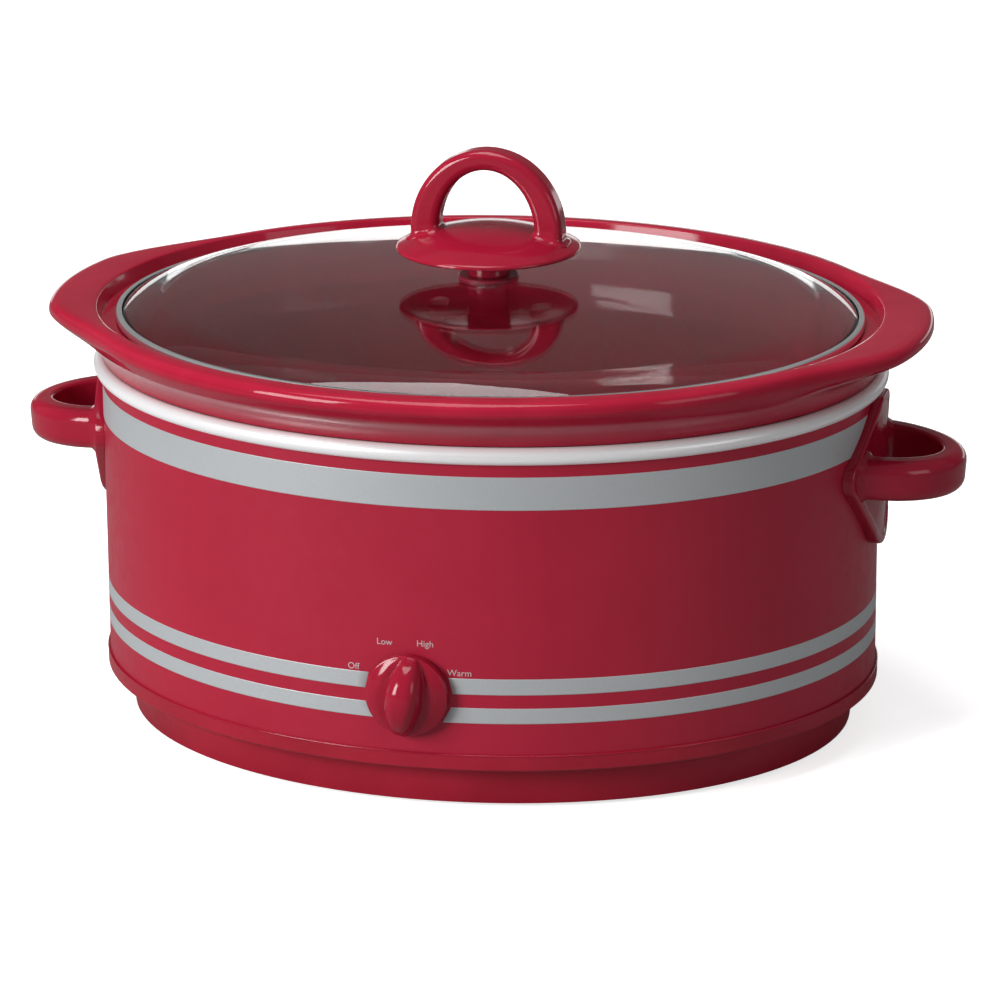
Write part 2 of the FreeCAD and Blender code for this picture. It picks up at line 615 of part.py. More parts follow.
def wiring():
    """Push-on tabs and connectors, the leads between them and two closed-end crimps."""
    tab_x, tab_half, tab_thin, tab_top = (-10.5, -3.5, 3.5, 10.5), 2.4, 0.4, 36.5
    spade_foot, spade_top, spade_half, spade_thin = 28.5, 34.5, 3.0, 1.4
    tabs, spades = [], []
    for i, x in enumerate(tab_x):
        tab = ((x - tab_half, TAB_Y - tab_thin, TAB_FOOT), (x + tab_half, TAB_Y + tab_thin, tab_top))
        tabs.append(box(f"switch_tab_{i}", *tab))
        block = box(f"spade_block_{i}", (x - spade_half, TAB_Y - spade_thin, spade_foot),
                    (x + spade_half, TAB_Y + spade_thin, spade_top))
        spades.append(cut(f"spade_{i}", block, box(f"spade_slot_{i}", *tab)))
    node("switch_terminals", group("switch_terminals", *tabs))
    node("spade_connectors", group("spade_connectors", *spades))
    low, tab_side, tab_drop = S("band_low"), 27, 10
    face = band_face(tab_side - 2, low + 6)
    heater_tabs = [box(f"heater_tab_{i}", (x - 2, min(y, y + side * 0.8), low - tab_drop),
                       (x + 2, max(y, y + side * 0.8), low + 6))
                   for i, (x, side, y) in enumerate(((-tab_side, -1, -face), (tab_side, -1, -face),
                                                     (tab_side, 1, face)))]
    node("heater_terminals", group("heater_terminals", *heater_tabs))
    tab_end, tab_y = low - tab_drop, face + 0.4
    for label, side in (("lead_heater_low", -1), ("lead_heater_high", 1)):
        lead(label, (side * 10.5, TAB_Y, spade_foot), (side * 10.5, TAB_Y, 22), (side * 16, -122, 16),
             (side * 25, -120, 20), (side * 30, -121, 32), (side * 28, -tab_y, 46), (side * tab_side, -tab_y, 55),
             (side * tab_side, -tab_y, tab_end))
    x, y, z = FUSE
    lead("lead_heater_common", (tab_side, tab_y, tab_end), (tab_side, tab_y, 50), (27, 123, 36), (27, 116, 20),
         (27, 104, 14), (25, 93, 12.5), (19.5, 88.5, 12.2), (15.6, 94, 12), (15.2, CRIMP_Y, 12))
    lead("lead_supply", (-3.5, TAB_Y, spade_foot), (-3.5, TAB_Y, 21), (-7, -117, 13), (-22, -100, 9.5),
         (-60, -50, 9.5), (-64, 25, 9.5), (-34, 78, 9.5), (-15, 88, 11), (-13, 94, 12), (-13, CRIMP_Y, 12))
    lead("lead_fuse", (3.5, TAB_Y, spade_foot), (3.5, TAB_Y, 22), (1, -116, 15), (-10, -100, 14), (-28, -84, 18),
         (-42, -70, 23), (-34, y, z), (x - 19, y, z))
    lead("lead_neutral", (x + 19, y, z), (36, -56, 26), (56, -18, 15), (56, 40, 9.5), (30, 68, 9.5),
         (12, 80, 10.5), (10.8, 94, 12), (10.8, CRIMP_Y, 12))
    crimps = [rod(f"crimp_{i}", 4.6, 13, (side * 13, CRIMP_Y, 12), BACK) for i, side in enumerate((-1, 1))]
    node("crimp_connectors", group("crimp_connectors", *crimps))


def cord_bush():
    bore = "Sizes.gland_bore"
    node("cord_bush", spun("cord_bush", (0, "Sizes.case_y - 3.4", "Sizes.gland_z"), BACK,
                           (bore, 0), (7.4, 0), (8.2, 2.3), (6.3, 2.4), (6.3, 3.5), (9.6, 3.55), (9.6, 5.0),
                           (6.8, 8.5, -0.4), (5.4, 12.0), (bore, 12.0)))


# ---------------------------------------------------------------- switch and knob

def rotary_switch():
    owner = body("rotary_switch")
    case = sketch(owner, "switch_case_sketch", "XZ_Plane", 124.9)
    outline(case, (-13, 36.5), (13, 36.5), (15, 38.5), (15, 66), (13, 68), (-13, 68), (-15, 66), (-15, 38.5))
    pad(owner, "switch_case", case, 14)
    bush = sketch(owner, "switch_bush_sketch", "XZ_Plane", 138.9)
    circle(bush, 0, "Sizes.knob_z", 5.2)
    pad(owner, "switch_bush", bush, 5.7)
    way = sketch(owner, "switch_way_sketch", "XZ_Plane", 144.6)
    circle(way, 0, "Sizes.knob_z", "Sizes.shaft_radius + 0.05")
    pocket(owner, "switch_way", way, 14)
    node("rotary_switch", owner)
    nut = body("switch_nut")
    drawing = sketch(nut, "nut_sketch", "XZ_Plane", 141.4)
    across = 14.0 / math.sqrt(3)
    middle = S("knob_z")
    outline(drawing, *[(across * math.cos(math.radians(60 * i)), middle + across * math.sin(math.radians(60 * i)))
                       for i in range(6)])
    pad(nut, "nut_pad", drawing, 2.2)
    bore = sketch(nut, "nut_bore_sketch", "XZ_Plane", 143.6)
    circle(bore, 0, "Sizes.knob_z", 5.2)
    pocket(nut, "nut_bore", bore, 3)
    node("switch_nut", nut)
    shaft = rod("shaft_round", "Sizes.shaft_radius", 23.5, (0, -131, "Sizes.knob_z"), FRONT)
    middle = S("knob_z")
    shaft_flat = box("shaft_flat", (-4, -156, middle + 2), (4, -147, middle + 5))
    node("switch_shaft", cut("switch_shaft", shaft, shaft_flat))
    node("knob_spring_clip", box("knob_spring_clip", (-1.3, -154.4, middle + 2), (1.3, -147.4, middle + 2.6)))


def control_knob():
    """A low dome with a rounded almond ridge across it, hollow behind, on the D-shaped shaft."""
    back, radius = S("knob_back"), S("knob_radius")
    rim, crest, hollow = back + 3.4, back + S("knob_deep"), back + 3.7
    low = body("knob_low", (0, 0, "Sizes.knob_z"))
    drawing = sketch(low, "knob_low_sketch")
    outline(drawing, (0, -back), (radius, -back), (radius, -rim), (PIP, -rim - 5.5, -1.41),
            (0, -rim - 5.5))
    turned(low, "knob_low_dome", drawing)
    high = body("knob_high", (0, 0, "Sizes.knob_z"))
    drawing = sketch(high, "knob_high_sketch")
    outline(drawing, (0, -rim), (radius, -rim), (PIP, -crest, -3.5), (0, -crest))
    turned(high, "knob_high_dome", drawing)
    bend, width = 30.0, 14.0
    turn = math.radians(KNOB_REST)
    away = bend - width / 2
    sides = [rod(f"knob_ridge_side_{i}", bend, 40, (side * away * math.cos(turn), -130,
                                                    S("knob_z") - side * away * math.sin(turn)), FRONT)
             for i, side in enumerate((-1, 1))]
    along = Vector(math.sin(turn), 0, math.cos(turn))
    crown = doc.addObject("Part::Ellipse", "knob_crown_ring")
    bind(crown, "MajorRadius", crest - rim)
    bind(crown, "MinorRadius", width * 0.6)
    place(crown, (0, -rim, "Sizes.knob_z"),
          Rotation(Vector(0, -1, 0), Vector(along.z, 0, -along.x), along, "XYZ"))
    ridge = common("knob_ridge", high, extruded("knob_crown", crown, along, 60), *sides)
    whole = cut("control_knob", fuse("knob_solid", low, ridge),
                rod("knob_hollow", 13.0, hollow - back + 5, (0, -back + 5, "Sizes.knob_z"), FRONT),
                rod("knob_bore", "Sizes.shaft_radius", 155.2 - back, (0, -back, "Sizes.knob_z"), FRONT))
    node("control_knob", whole)


# ---------------------------------------------------------------- side handles

def side_handles():
    """A shield that follows the casing's end, with a D-shaped loop that droops slightly outwards."""
    droop = 4.0
    turn = Rotation(Vector(0, 1, 0), droop)
    up = turn.multVec(Vector(0, 0, 1))
    centre = (S("side_root"), 0, S("side_z") + 6 * math.tan(math.radians(droop)))
    walls = []
    for name, half_x, half_y in (("loop_outside", "Sizes.side_tip - Sizes.side_root", "Sizes.side_half"),
                                 ("loop_inside", "Sizes.side_gap_x", "Sizes.side_gap_y")):
        ring = doc.addObject("Part::Ellipse", name + "_ring")
        bind(ring, "MajorRadius", half_x)
        bind(ring, "MinorRadius", half_y)
        place(ring, centre, turn)
        walls.append(extruded(name, ring, up, "Sizes.side_high"))
    loop = rounded("loop_round", cut("loop", *walls), 4.6, lambda edge: isinstance(edge.Curve, Part.Ellipse))
    shield = body("shield_block")
    drawing = sketch(shield, "shield_sketch", "YZ_Plane", 150)
    outline(drawing, (0, 76), (45.5, 124), (8, 152.4), (-8, 152.4), (-45.5, 124))
    pad(shield, "shield_pad", drawing, 30)
    corners = rounded("shield_corners", shield, 9.0,
                      lambda edge: edge.BoundBox.XLength > 20 and abs(edge.BoundBox.ZMin - 124) < 1)
    tip = rounded("shield_tip", corners, 22.0,
                  lambda edge: edge.BoundBox.XLength > 20 and abs(edge.BoundBox.ZMin - 76) < 1)
    skin = oval_prism("shield_skin", "Sizes.case_x + Sizes.plate_thick", "Sizes.case_y + Sizes.plate_thick",
                      60, "Sizes.case_head - 0.1")
    plate = common("shield_plate", tip, skin)
    inside = oval_prism("shield_casing", "Sizes.case_x", "Sizes.case_y", 50, 160)
    holes = [rod(f"shield_hole_{i}", 1.7, 12.8, (160, 0, height), RIGHT)
             for i, height in enumerate(HANDLE_SCREW_HEIGHTS)]
    inner_half = box("loop_inner_half", (100, -60, 60), (150, 60, 180))
    outer_half = cut("loop_outer_half", loop, inner_half)
    right = node("right_handle", cut("right_handle", fuse("handle_solid", plate, outer_half), inside, *holes))
    left = doc.addObject("Part::Mirroring", "left_handle")
    left.Source = right
    left.Base = Vector(0, 0, 0)
    left.Normal = Vector(1, 0, 0)
    node("left_handle", left)
    head = 3.5
    start = S("case_x") - S("sheet_wall") - head * PAN - 0.1
    for label, side, turn in (("handle_screws_right", 1, RIGHT), ("handle_screws_left", -1, LEFT)):
        screws = [pan_screw(f"{label}_{i}", (side * start, 0, height), turn, head, 1.7, 6.6)
                  for i, height in enumerate(HANDLE_SCREW_HEIGHTS)]
        node(label, group(label, *screws))


# ---------------------------------------------------------------- crock

OUTLINE_POINTS = 72      # round the crock's rim


def eared(half_x, half_y, height, ear):
    """A level closed curve: an ellipse whose two ends stand out as ears."""
    flat, end = S("ear_flat"), S("ear_end")
    points = []
    for i in range(OUTLINE_POINTS):
        turn = 2 * math.pi * i / OUTLINE_POINTS
        x, y = half_x * math.cos(turn), half_y * math.sin(turn)
        share = min(max((abs(y) - flat) / (end - flat), 0), 1)
        x += math.copysign(ear * (1 - share * share * (3 - 2 * share)), x)
        points.append(Vector(x, y, height))
    curve = Part.BSplineCurve()
    curve.interpolate(Points=points, PeriodicFlag=True)
    return Part.Wire(curve.toShape())


def stoneware_crock():
    """A thick bowl whose wide rim overhangs the rolled bead and carries the lid on a ledge."""
    skirt, top, ear = S("skirt_z"), S("rim_top"), S("ear")
    shoulder = (S("shoulder_x"), S("shoulder_y"))
    # Each section: how far in from the shoulder along X and Y, how far below the top, share of the ear.
    sections = ((7.4, 17.1, top - skirt, 0.0), (6.7, 15.7, 21.0, 0.0), (5.2, 12.2, 17.0, 0.01),
                (3.6, 8.2, 13.7, 0.12), (2.2, 5.0, 11.0, 0.4), (1.0, 2.4, 8.4, 0.78), (0.2, 0.4, 6.2, 0.97),
                (0.0, 0.0, 4.5, 1.0), (0.5, 0.7, 2.0, 1.0), (2.4, 3.6, 0.4, 0.97), (4.4, 7.0, 0.0, 0.92))
    rim = solid("crock_rim", Part.makeLoft([eared(shoulder[0] - x, shoulder[1] - y, top - down, ear * share)
                                            for x, y, down, share in sections], True, True))
    bowl = oval_solid("crock_outside",
                      *round_foot("Sizes.crock_low_x", "Sizes.crock_low_y", "Sizes.crock_low", S("crock_corner")),
                      ("Sizes.crock_x", "Sizes.crock_y", "Sizes.skirt_z + 0.5"))
    groove = cut("crock_groove",
                 oval_solid("groove_outside", (162.5, 134.8, "Sizes.skirt_z - 1"), (164.5, 138.4, "Sizes.skirt_z + 7.7")),
                 oval_solid("groove_inside", ("Sizes.crock_x", "Sizes.crock_y", "Sizes.skirt_z - 2"),
                            (157.4, 131.3, "Sizes.skirt_z + 8.7")))
    flare_foot = S("skirt_z") - 9.3
    wall = "Sizes.crock_wall"
    cavity = oval_solid("crock_inside",
                        *round_foot(f"Sizes.crock_low_x - {wall}", f"Sizes.crock_low_y - {wall}",
                                    "Sizes.crock_low + Sizes.crock_floor", S("crock_corner") - 1),
                        (f"Sizes.crock_x - {wall}", f"Sizes.crock_y - {wall}", flare_foot),
                        (146.6, 120.2, flare_foot + 9), (150.0, 125.9, flare_foot + 17.5),
                        ("Sizes.throat_x", "Sizes.throat_y", "Sizes.ledge_z - 1.2"),
                        ("Sizes.throat_x + 1.2", "Sizes.throat_y + 1.2", "Sizes.ledge_z + 0.01"))
    ledge = oval_solid("crock_ledge", ("Sizes.ledge_x", "Sizes.ledge_y", "Sizes.ledge_z"),
                       ("Sizes.rim_in_x - 0.2", "Sizes.rim_in_y - 0.2", "Sizes.rim_top - 1"),
                       ("Sizes.rim_in_x + 1.6", "Sizes.rim_in_y + 1.6", "Sizes.rim_top + 0.5"))
    node("stoneware_crock", cut("stoneware_crock", fuse("crock_solid", rim, bowl), groove, cavity, ledge))


# ---------------------------------------------------------------- lid

EDGE_IN = 1.2            # edge of the glass, in from the outside of its band


def lid():
    """A tempered glass dome in a steel band, with the gasket, washer and screw of its handle."""
    foot, top, wall = S("lid_z") + S("band_wall"), S("glass_top"), S("glass_wall")
    rim = S("lid_x") - EDGE_IN
    shoulder, turn_z = rim - 20.8, top - 7.4
    # The dome is turned round, then squeezed along Y to the plan of the lid.
    dome = spun("glass_turned", (0, 0, 0), None, (rim - wall, foot, -1.1), (rim, foot), (rim, foot + 1.0),
                (shoulder, turn_z, 1.9), (HOLE, "Sizes.glass_top", 1.9),
                (HOLE, "Sizes.glass_top - Sizes.glass_wall"),
                (shoulder - 1.5, turn_z - 3.6, -1.85))
    squeezed = doc.addObject("Part::Scale", "glass_oval")
    squeezed.Base = dome
    squeezed.Uniform = False
    squeezed.setExpression("YScale", f"(Sizes.lid_y - {EDGE_IN}) / (Sizes.lid_x - {EDGE_IN})")
    node("lid_glass", squeezed)
    under = S("glass_top") - wall
    node("lid_gasket", spun("lid_gasket", (0, 0, 0), None, (1.85, under + 0.1), (3.1, under + 0.1),
                            (3.1, "Sizes.glass_top"), (13, "Sizes.glass_top"), (13, "Sizes.glass_top + 1"),
                            (12.6, "Sizes.glass_top + 1.4"), (1.85, "Sizes.glass_top + 1.4")))
    washer_top = under - 0.15
    node("lid_washer", spun("lid_washer", (0, 0, washer_top - 0.8), None, (1.9, 0), (8, 0), (8, 0.8), (1.9, 0.8)))
    head = 4.5
    node("lid_screw", pan_screw("lid_screw", (0, 0, washer_top - 0.8 - head * PAN), None, head, 1.8, 19.4))


def lid_band():
    """A steel hoop of U section round the edge of the glass."""
    foot, top = "Sizes.lid_z", "Sizes.lid_z + Sizes.band_high"
    seat = f"{foot} + Sizes.band_wall"
    hoop = oval_solid("band_outside", ("Sizes.lid_x - 0.8", "Sizes.lid_y - 0.8", foot),
                      ("Sizes.lid_x", "Sizes.lid_y", f"{foot} + 0.8"),
                      ("Sizes.lid_x", "Sizes.lid_y", f"{top} - 0.8"), ("Sizes.lid_x - 0.8", "Sizes.lid_y - 0.8", top))
    mouth = oval_solid("band_mouth", (155.6, 133.3, f"{foot} - 1"), (155.6, 133.3, f"{top} + 1"))
    room = EDGE_IN - 0.05
    channel = oval_solid("band_channel", (f"Sizes.lid_x - {room}", f"Sizes.lid_y - {room}", seat),
                         (f"Sizes.lid_x - {room}", f"Sizes.lid_y - {room}", f"{seat} + 1.1"),
                         ("Sizes.lid_x - 1.8", "Sizes.lid_y - 1.8", f"{top} + 0.1"))
    node("lid_band", cut("lid_band", hoop, mouth, channel))


def lid_handle():
    """A shallow mushroom disc with an arched grip across it, moulded in one."""
    foot = S("glass_top") + 1.4
    owner = body("grip_disc")
    drawing = sketch(owner, "grip_disc_sketch", "XZ_Plane")
    outline(drawing, (0, foot), (9, foot), (9, 212.0), (37.0, "Sizes.grip_edge"),
            ("Sizes.grip_radius - 0.6", "Sizes.grip_edge"), ("Sizes.grip_radius", "Sizes.grip_edge + 0.6", 0.18),
            ("Sizes.grip_radius", "Sizes.grip_edge + 1.4"), (PIP, "Sizes.grip_crown", 2.7),
            (0, "Sizes.grip_crown"))
    turned(owner, "grip_disc_turned", drawing)
    upright = Rotation(Vector(0, 0, 1), Vector(1, 0, 0), Vector(0, 1, 0), "XYZ")
    walls = []
    for name, high, half in (("arch_outside", "Sizes.grip_top - Sizes.grip_foot", "Sizes.grip_out"),
                             ("arch_inside", "Sizes.grip_in_top - Sizes.grip_foot", "Sizes.grip_in")):
        ring = doc.addObject("Part::Ellipse", name + "_ring")
        bind(ring, "MajorRadius", high)
        bind(ring, "MinorRadius", half)
        place(ring, (0, 0, "Sizes.grip_foot"), upright)
        walls.append(extruded(name, ring, Vector(0, 1, 0), "Sizes.grip_deep"))
    arch = rounded("arch_round", cut("arch", *walls), 3.2, lambda edge: isinstance(edge.Curve, Part.Ellipse))
    legs = cut("arch_legs", arch, box("arch_below", (-60, -20, 150), (60, 20, 209.6)))
    pilot = rod("grip_pilot", 1.8, 12, (0, 0, foot - 1))
    node("lid_handle", cut("lid_handle", fuse("grip_solid", owner, legs), pilot))


# ---------------------------------------------------------------- finish

def write_parts():
    doc.recompute()
    for thing in doc.Objects:
        if {"Invalid", "Error"} & set(thing.State):
            raise RuntimeError(f"{thing.Name} failed: {thing.State}")
    os.makedirs("parts", exist_ok=True)
    for old in os.listdir("parts"):
        os.remove(os.path.join("parts", old))
    for label, thing in nodes.items():
        shape = thing.Shape
        if shape.isNull() or not shape.isValid() or not shape.Solids:
            raise RuntimeError(f"{label} has no valid solid")
        shape.exportStep(f"parts/{label}.step")
        print(f"{label:28s} solids {len(shape.Solids):2d}  volume {shape.Volume / 1000:9.2f} cm3")


outer_casing()
base_tub()
rubber_feet()
heating_well()
heater()
tie_bracket()
thermal_fuse()
wiring()
cord_bush()
rotary_switch()
control_knob()
side_handles()
stoneware_crock()
lid()
lid_band()
lid_handle()
write_parts()
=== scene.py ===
"""Looks of the oval slow cooker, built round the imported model.

Blender objects are in metres, in the model's own frame: X along the length, the knob on -Y, Z up.
Profiles and outlines are written in millimetres and turned into metres as their mesh is made.
"""
import json
import math

import bmesh
import bpy
from mathutils import Matrix, Vector


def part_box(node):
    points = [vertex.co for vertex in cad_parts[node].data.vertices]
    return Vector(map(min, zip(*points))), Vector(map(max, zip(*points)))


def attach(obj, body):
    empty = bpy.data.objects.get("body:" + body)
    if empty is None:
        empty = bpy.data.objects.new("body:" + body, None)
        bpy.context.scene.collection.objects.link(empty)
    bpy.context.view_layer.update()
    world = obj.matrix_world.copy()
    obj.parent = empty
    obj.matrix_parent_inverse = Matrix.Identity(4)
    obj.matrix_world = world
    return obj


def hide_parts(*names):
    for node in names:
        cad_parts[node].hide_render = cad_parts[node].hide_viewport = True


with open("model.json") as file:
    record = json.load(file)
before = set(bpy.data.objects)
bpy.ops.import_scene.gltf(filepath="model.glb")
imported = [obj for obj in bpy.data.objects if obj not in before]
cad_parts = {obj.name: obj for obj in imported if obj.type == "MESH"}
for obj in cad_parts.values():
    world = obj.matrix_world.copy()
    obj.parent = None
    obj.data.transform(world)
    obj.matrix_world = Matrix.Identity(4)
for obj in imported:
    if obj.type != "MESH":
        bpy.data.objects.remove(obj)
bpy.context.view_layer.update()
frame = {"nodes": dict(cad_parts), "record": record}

MM = 0.001
AROUND = 256             # points round an oval
SCENE = bpy.context.scene


# ---------------------------------------------------------------- sizes read from the frame

def corners_mm(node):
    """Lowest and highest corner of a CAD node, in millimetres."""
    low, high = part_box(node)
    return low / MM, high / MM


CASE_LOW, CASE_HIGH = corners_mm("outer_casing")
WELL_TOP = corners_mm("heating_well")[1].z
CROCK_LOW, CROCK_HIGH = corners_mm("stoneware_crock")
GLASS_LOW, GLASS_HIGH = corners_mm("lid_glass")
HOOP_LOW, HOOP_HIGH = corners_mm("lid_band")
GRIP_HIGH = corners_mm("lid_handle")[1]
KNOB_LOW, KNOB_HIGH = corners_mm("control_knob")

CASE_X, CASE_Y = CASE_HIGH.x, CASE_HIGH.y
KNOB_Z = (KNOB_LOW.z + KNOB_HIGH.z) / 2


# ---------------------------------------------------------------- curves

def arc_at(before, corner, after, radius, steps):
    """The arc that rounds a corner, as a rational curve, in any number of dimensions."""
    back, ahead = before - corner, after - corner
    room = 0.48 * min(back.length, ahead.length)
    back.normalize()
    ahead.normalize()
    half = math.acos(max(-1.0, min(1.0, back.dot(ahead)))) / 2
    reach = min(radius / math.tan(half), room) if half < 1.56 else 0.0
    if reach <= 0:
        return [corner]
    start, end, weight = corner + back * reach, corner + ahead * reach, math.sin(half)
    points = []
    for i in range(steps + 1):
        t = i / steps
        a, b, c = (1 - t) ** 2, 2 * weight * t * (1 - t), t ** 2
        points.append((start * a + corner * b + end * c) / (a + b + c))
    return points


def held(points, margin, closed):
    """Adds a point close to each end of every long straight run, which keeps its shading flat."""
    result = []
    count = len(points)
    for i, point in enumerate(points):
        result.append(point)
        if i == count - 1 and not closed:
            break
        step = points[(i + 1) % count] - point
        if step.length > 5 * margin:
            result.append(point + step * (margin / step.length))
            result.append(point + step * (1 - margin / step.length))
    return result


def softened(*corners, closed=False, steps=6, margin=0.5):
    """A path through corners, each a tuple whose last number is the radius that rounds it."""
    places = [Vector(c[:-1]) for c in corners]
    count = len(corners)
    path = []
    for i, corner in enumerate(corners):
        end = not closed and i in (0, count - 1)
        if end or not corner[-1]:
            path.append(places[i])
        else:
            path += arc_at(places[i - 1], places[i], places[(i + 1) % count], corner[-1], steps)
    return held(path, margin, closed)


def curved(*places, steps=4):
    """A Catmull-Rom curve through places."""
    spots = [Vector(p) for p in places]
    spots = [spots[0] * 2 - spots[1]] + spots + [spots[-1] * 2 - spots[-2]]
    path = []
    for a, b, c, d in zip(spots, spots[1:], spots[2:], spots[3:]):
        for i in range(steps):
            t = i / steps
            path.append(0.5 * (2 * b + (c - a) * t + (2 * a - 5 * b + 4 * c - d) * t ** 2
                               + (3 * b - a - 3 * c + d) * t ** 3))
    path.append(spots[-2])
    return path


def bulged(start, end, bulge, steps=16):
    """An arc in a plane from start to end that stands out by bulge to the right of the way."""
    start, end = Vector(start), Vector(end)
    way = end - start
    side = Vector((way.y, -way.x)).normalized()
    corner = (start + end) / 2 + side * bulge * 2
    weight = (way.length / 2) / math.hypot(way.length / 2, 2 * bulge)
    points = []
    for i in range(steps + 1):
        t = i / steps
        a, b, c = (1 - t) ** 2, 2 * weight * t * (1 - t), t ** 2
        points.append((start * a + corner * b + end * c) / (a + b + c))
    return points


def smooth_step(low, high, value):
    share = min(max((value - low) / (high - low), 0.0), 1.0)
    return share * share * (3 - 2 * share)


# ---------------------------------------------------------------- meshes

def skin(rings, first="open", last="open", ring_closed=True, tube=False):
    """Vertices and faces through rings of equally many points. An end is open or closed to a point.
    In a tube the last ring joins the first."""
    count = len(rings[0])
    vertices = [p for ring in rings for p in ring]
    faces = []
    strips = len(rings) if tube else len(rings) - 1
    for i in range(strips):
        here, there = i * count, (i + 1) % len(rings) * count
        for j in range(count if ring_closed else count - 1):
            k = (j + 1) % count
            faces.append((here + j, here + k, there + k, there + j))
    for end, start in ((first, 0), (last, (len(rings) - 1) * count)):
        if end == "point":
            middle = sum(vertices[start:start + count], Vector()) / count
            vertices.append(middle)
            faces += [(start + j, start + (j + 1) % count, len(vertices) - 1) for j in range(count)]
    return vertices, faces


def piece(name, parts, body, slot, *nodes, finish=None):
    """A smooth mesh object made of one or more (vertices, faces) in millimetres."""
    vertices, faces = [], []
    for some_vertices, some_faces in parts:
        start = len(vertices)
        vertices += [tuple(v * MM) for v in some_vertices]
        faces += [tuple(start + i for i in face) for face in some_faces]
    data = bpy.data.meshes.new(name)
    data.from_pydata(vertices, [], faces)
    mesh = bmesh.new()
    mesh.from_mesh(data)
    bmesh.ops.remove_doubles(mesh, verts=mesh.verts, dist=2e-7)
    bmesh.ops.recalc_face_normals(mesh, faces=mesh.faces)
    mesh.to_mesh(data)
    mesh.free()
    data.shade_smooth()
    data.materials.append(finish or FINISHES[slot])
    thing = bpy.data.objects.new(name, data)
    SCENE.collection.objects.link(thing)
    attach(thing, body)
    if nodes:
        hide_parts(*nodes)
    return thing


def oval_rings(path):
    """Level rings for a path of (half length, half width, height)."""
    turns = [2 * math.pi * i / AROUND for i in range(AROUND)]
    return [[Vector((p[0] * math.cos(t), p[1] * math.sin(t), p[2])) for t in turns] for p in path]


def offset_rings(half_x, half_y, path):
    """Level rings for a path of (outwards from the oval, height)."""
    return oval_rings([(half_x + p[0], half_y + p[0], p[1]) for p in path])


def round_rings(path, squeeze=1.0):
    """Level rings for a path of (radius, height), flattened along Y by squeeze."""
    return oval_rings([(p[0], p[0] * squeeze, p[1]) for p in path])


# ---------------------------------------------------------------- materials

class Finish:
    """A Principled material and the few texture nodes that vary it."""

    def __init__(self, name, colour, roughness, **sockets):
        self.material = bpy.data.materials.new(name)
        self.material.use_nodes = True
        self.tree = self.material.node_tree
        self.bsdf = self.tree.nodes["Principled BSDF"]
        self.set("Base Color", (*colour, 1.0))
        self.set("Roughness", roughness)
        for socket, value in sockets.items():
            self.set(socket.replace("_", " "), value)
        self.where = self.tree.nodes.new("ShaderNodeTexCoord").outputs["Object"]
        self.normal = None

    def set(self, socket, value):
        self.bsdf.inputs[socket].default_value = value

    def node(self, kind, **inputs):
        made = self.tree.nodes.new(kind)
        for name, value in inputs.items():
            name = name.replace("_", " ")
            if isinstance(value, bpy.types.NodeSocket):
                self.tree.links.new(value, made.inputs[name])
            else:
                made.inputs[name].default_value = value
        return made

    def noise(self, scale, detail=3.0, stretch=(1, 1, 1), distortion=0.0):
        """A noise texture in object space; scale is in features per metre."""
        mapping = self.node("ShaderNodeMapping", Vector=self.where, Scale=stretch)
        return self.node("ShaderNodeTexNoise", Vector=mapping.outputs["Vector"], Scale=scale, Detail=detail,
                         Distortion=distortion).outputs["Fac"]

    def spread(self, source, low, high, start=0.3, stop=0.7):
        """Maps source from start..stop to low..high."""
        return self.node("ShaderNodeMapRange", Value=source, From_Min=start, From_Max=stop, To_Min=low,
                         To_Max=high).outputs["Result"]

    def math(self, operation, first, second):
        made = self.tree.nodes.new("ShaderNodeMath")
        made.operation = operation
        for socket, value in zip(made.inputs, (first, second)):
            if isinstance(value, bpy.types.NodeSocket):
                self.tree.links.new(value, socket)
            else:
                socket.default_value = value
        return made.outputs["Value"]

    def mix(self, share, first, second):
        """A colour between two colours, each a tuple or a socket."""
        made = self.tree.nodes.new("ShaderNodeMix")
        made.data_type = "RGBA"
        for index, value in ((0, share), (6, first), (7, second)):
            if isinstance(value, bpy.types.NodeSocket):
                self.tree.links.new(value, made.inputs[index])
            else:
                made.inputs[index].default_value = value if index == 0 else (*value, 1.0)
        return made.outputs[2]

    def drive(self, socket, source):
        self.tree.links.new(source, self.bsdf.inputs[socket])

    def bump(self, source, height, strength=1.0):
        """Raises the surface by source; height is in metres. Calls add up."""
        made = self.node("ShaderNodeBump", Height=source, Distance=height, Strength=strength)
        if self.normal is not None:
            self.tree.links.new(self.normal, made.inputs["Normal"])
        self.normal = made.outputs["Normal"]
        self.drive("Normal", self.normal)

    def height_of(self):
        """The object's own Z, in metres."""
        return self.node("ShaderNodeSeparateXYZ", Vector=self.where).outputs["Z"]


RED = (0.35, 0.0110, 0.0330)
DEEP_RED = (0.337, 0.0100, 0.0305)
BRIGHT_RED = (0.363, 0.0120, 0.0355)


def satin_paint():
    """Satin enamel on steel: faint orange peel and a very slight cloudiness."""
    paint = Finish("satin_red_paint", RED, 0.36, Specular_IOR_Level=0.28)
    cloud = paint.noise(22, 4)
    paint.drive("Base Color", paint.mix(paint.spread(cloud, 0.0, 1.0), DEEP_RED, BRIGHT_RED))
    paint.drive("Roughness", paint.spread(paint.noise(160, 5), 0.32, 0.41))
    paint.bump(paint.noise(900, 3), 0.00003, 0.35)
    return paint.material


def printed_grey(name, dark, light):
    """Screen-printed ink: fine flakes over an even tone."""
    ink = Finish(name, light, 0.42, Metallic=0.25)
    flakes = ink.noise(5200, 2)
    ink.drive("Base Color", ink.mix(ink.spread(flakes, 0, 1), dark, light))
    ink.drive("Roughness", ink.spread(ink.noise(700, 4), 0.38, 0.50))
    ink.bump(ink.noise(2600, 3), 0.00001, 0.3)
    return ink.material


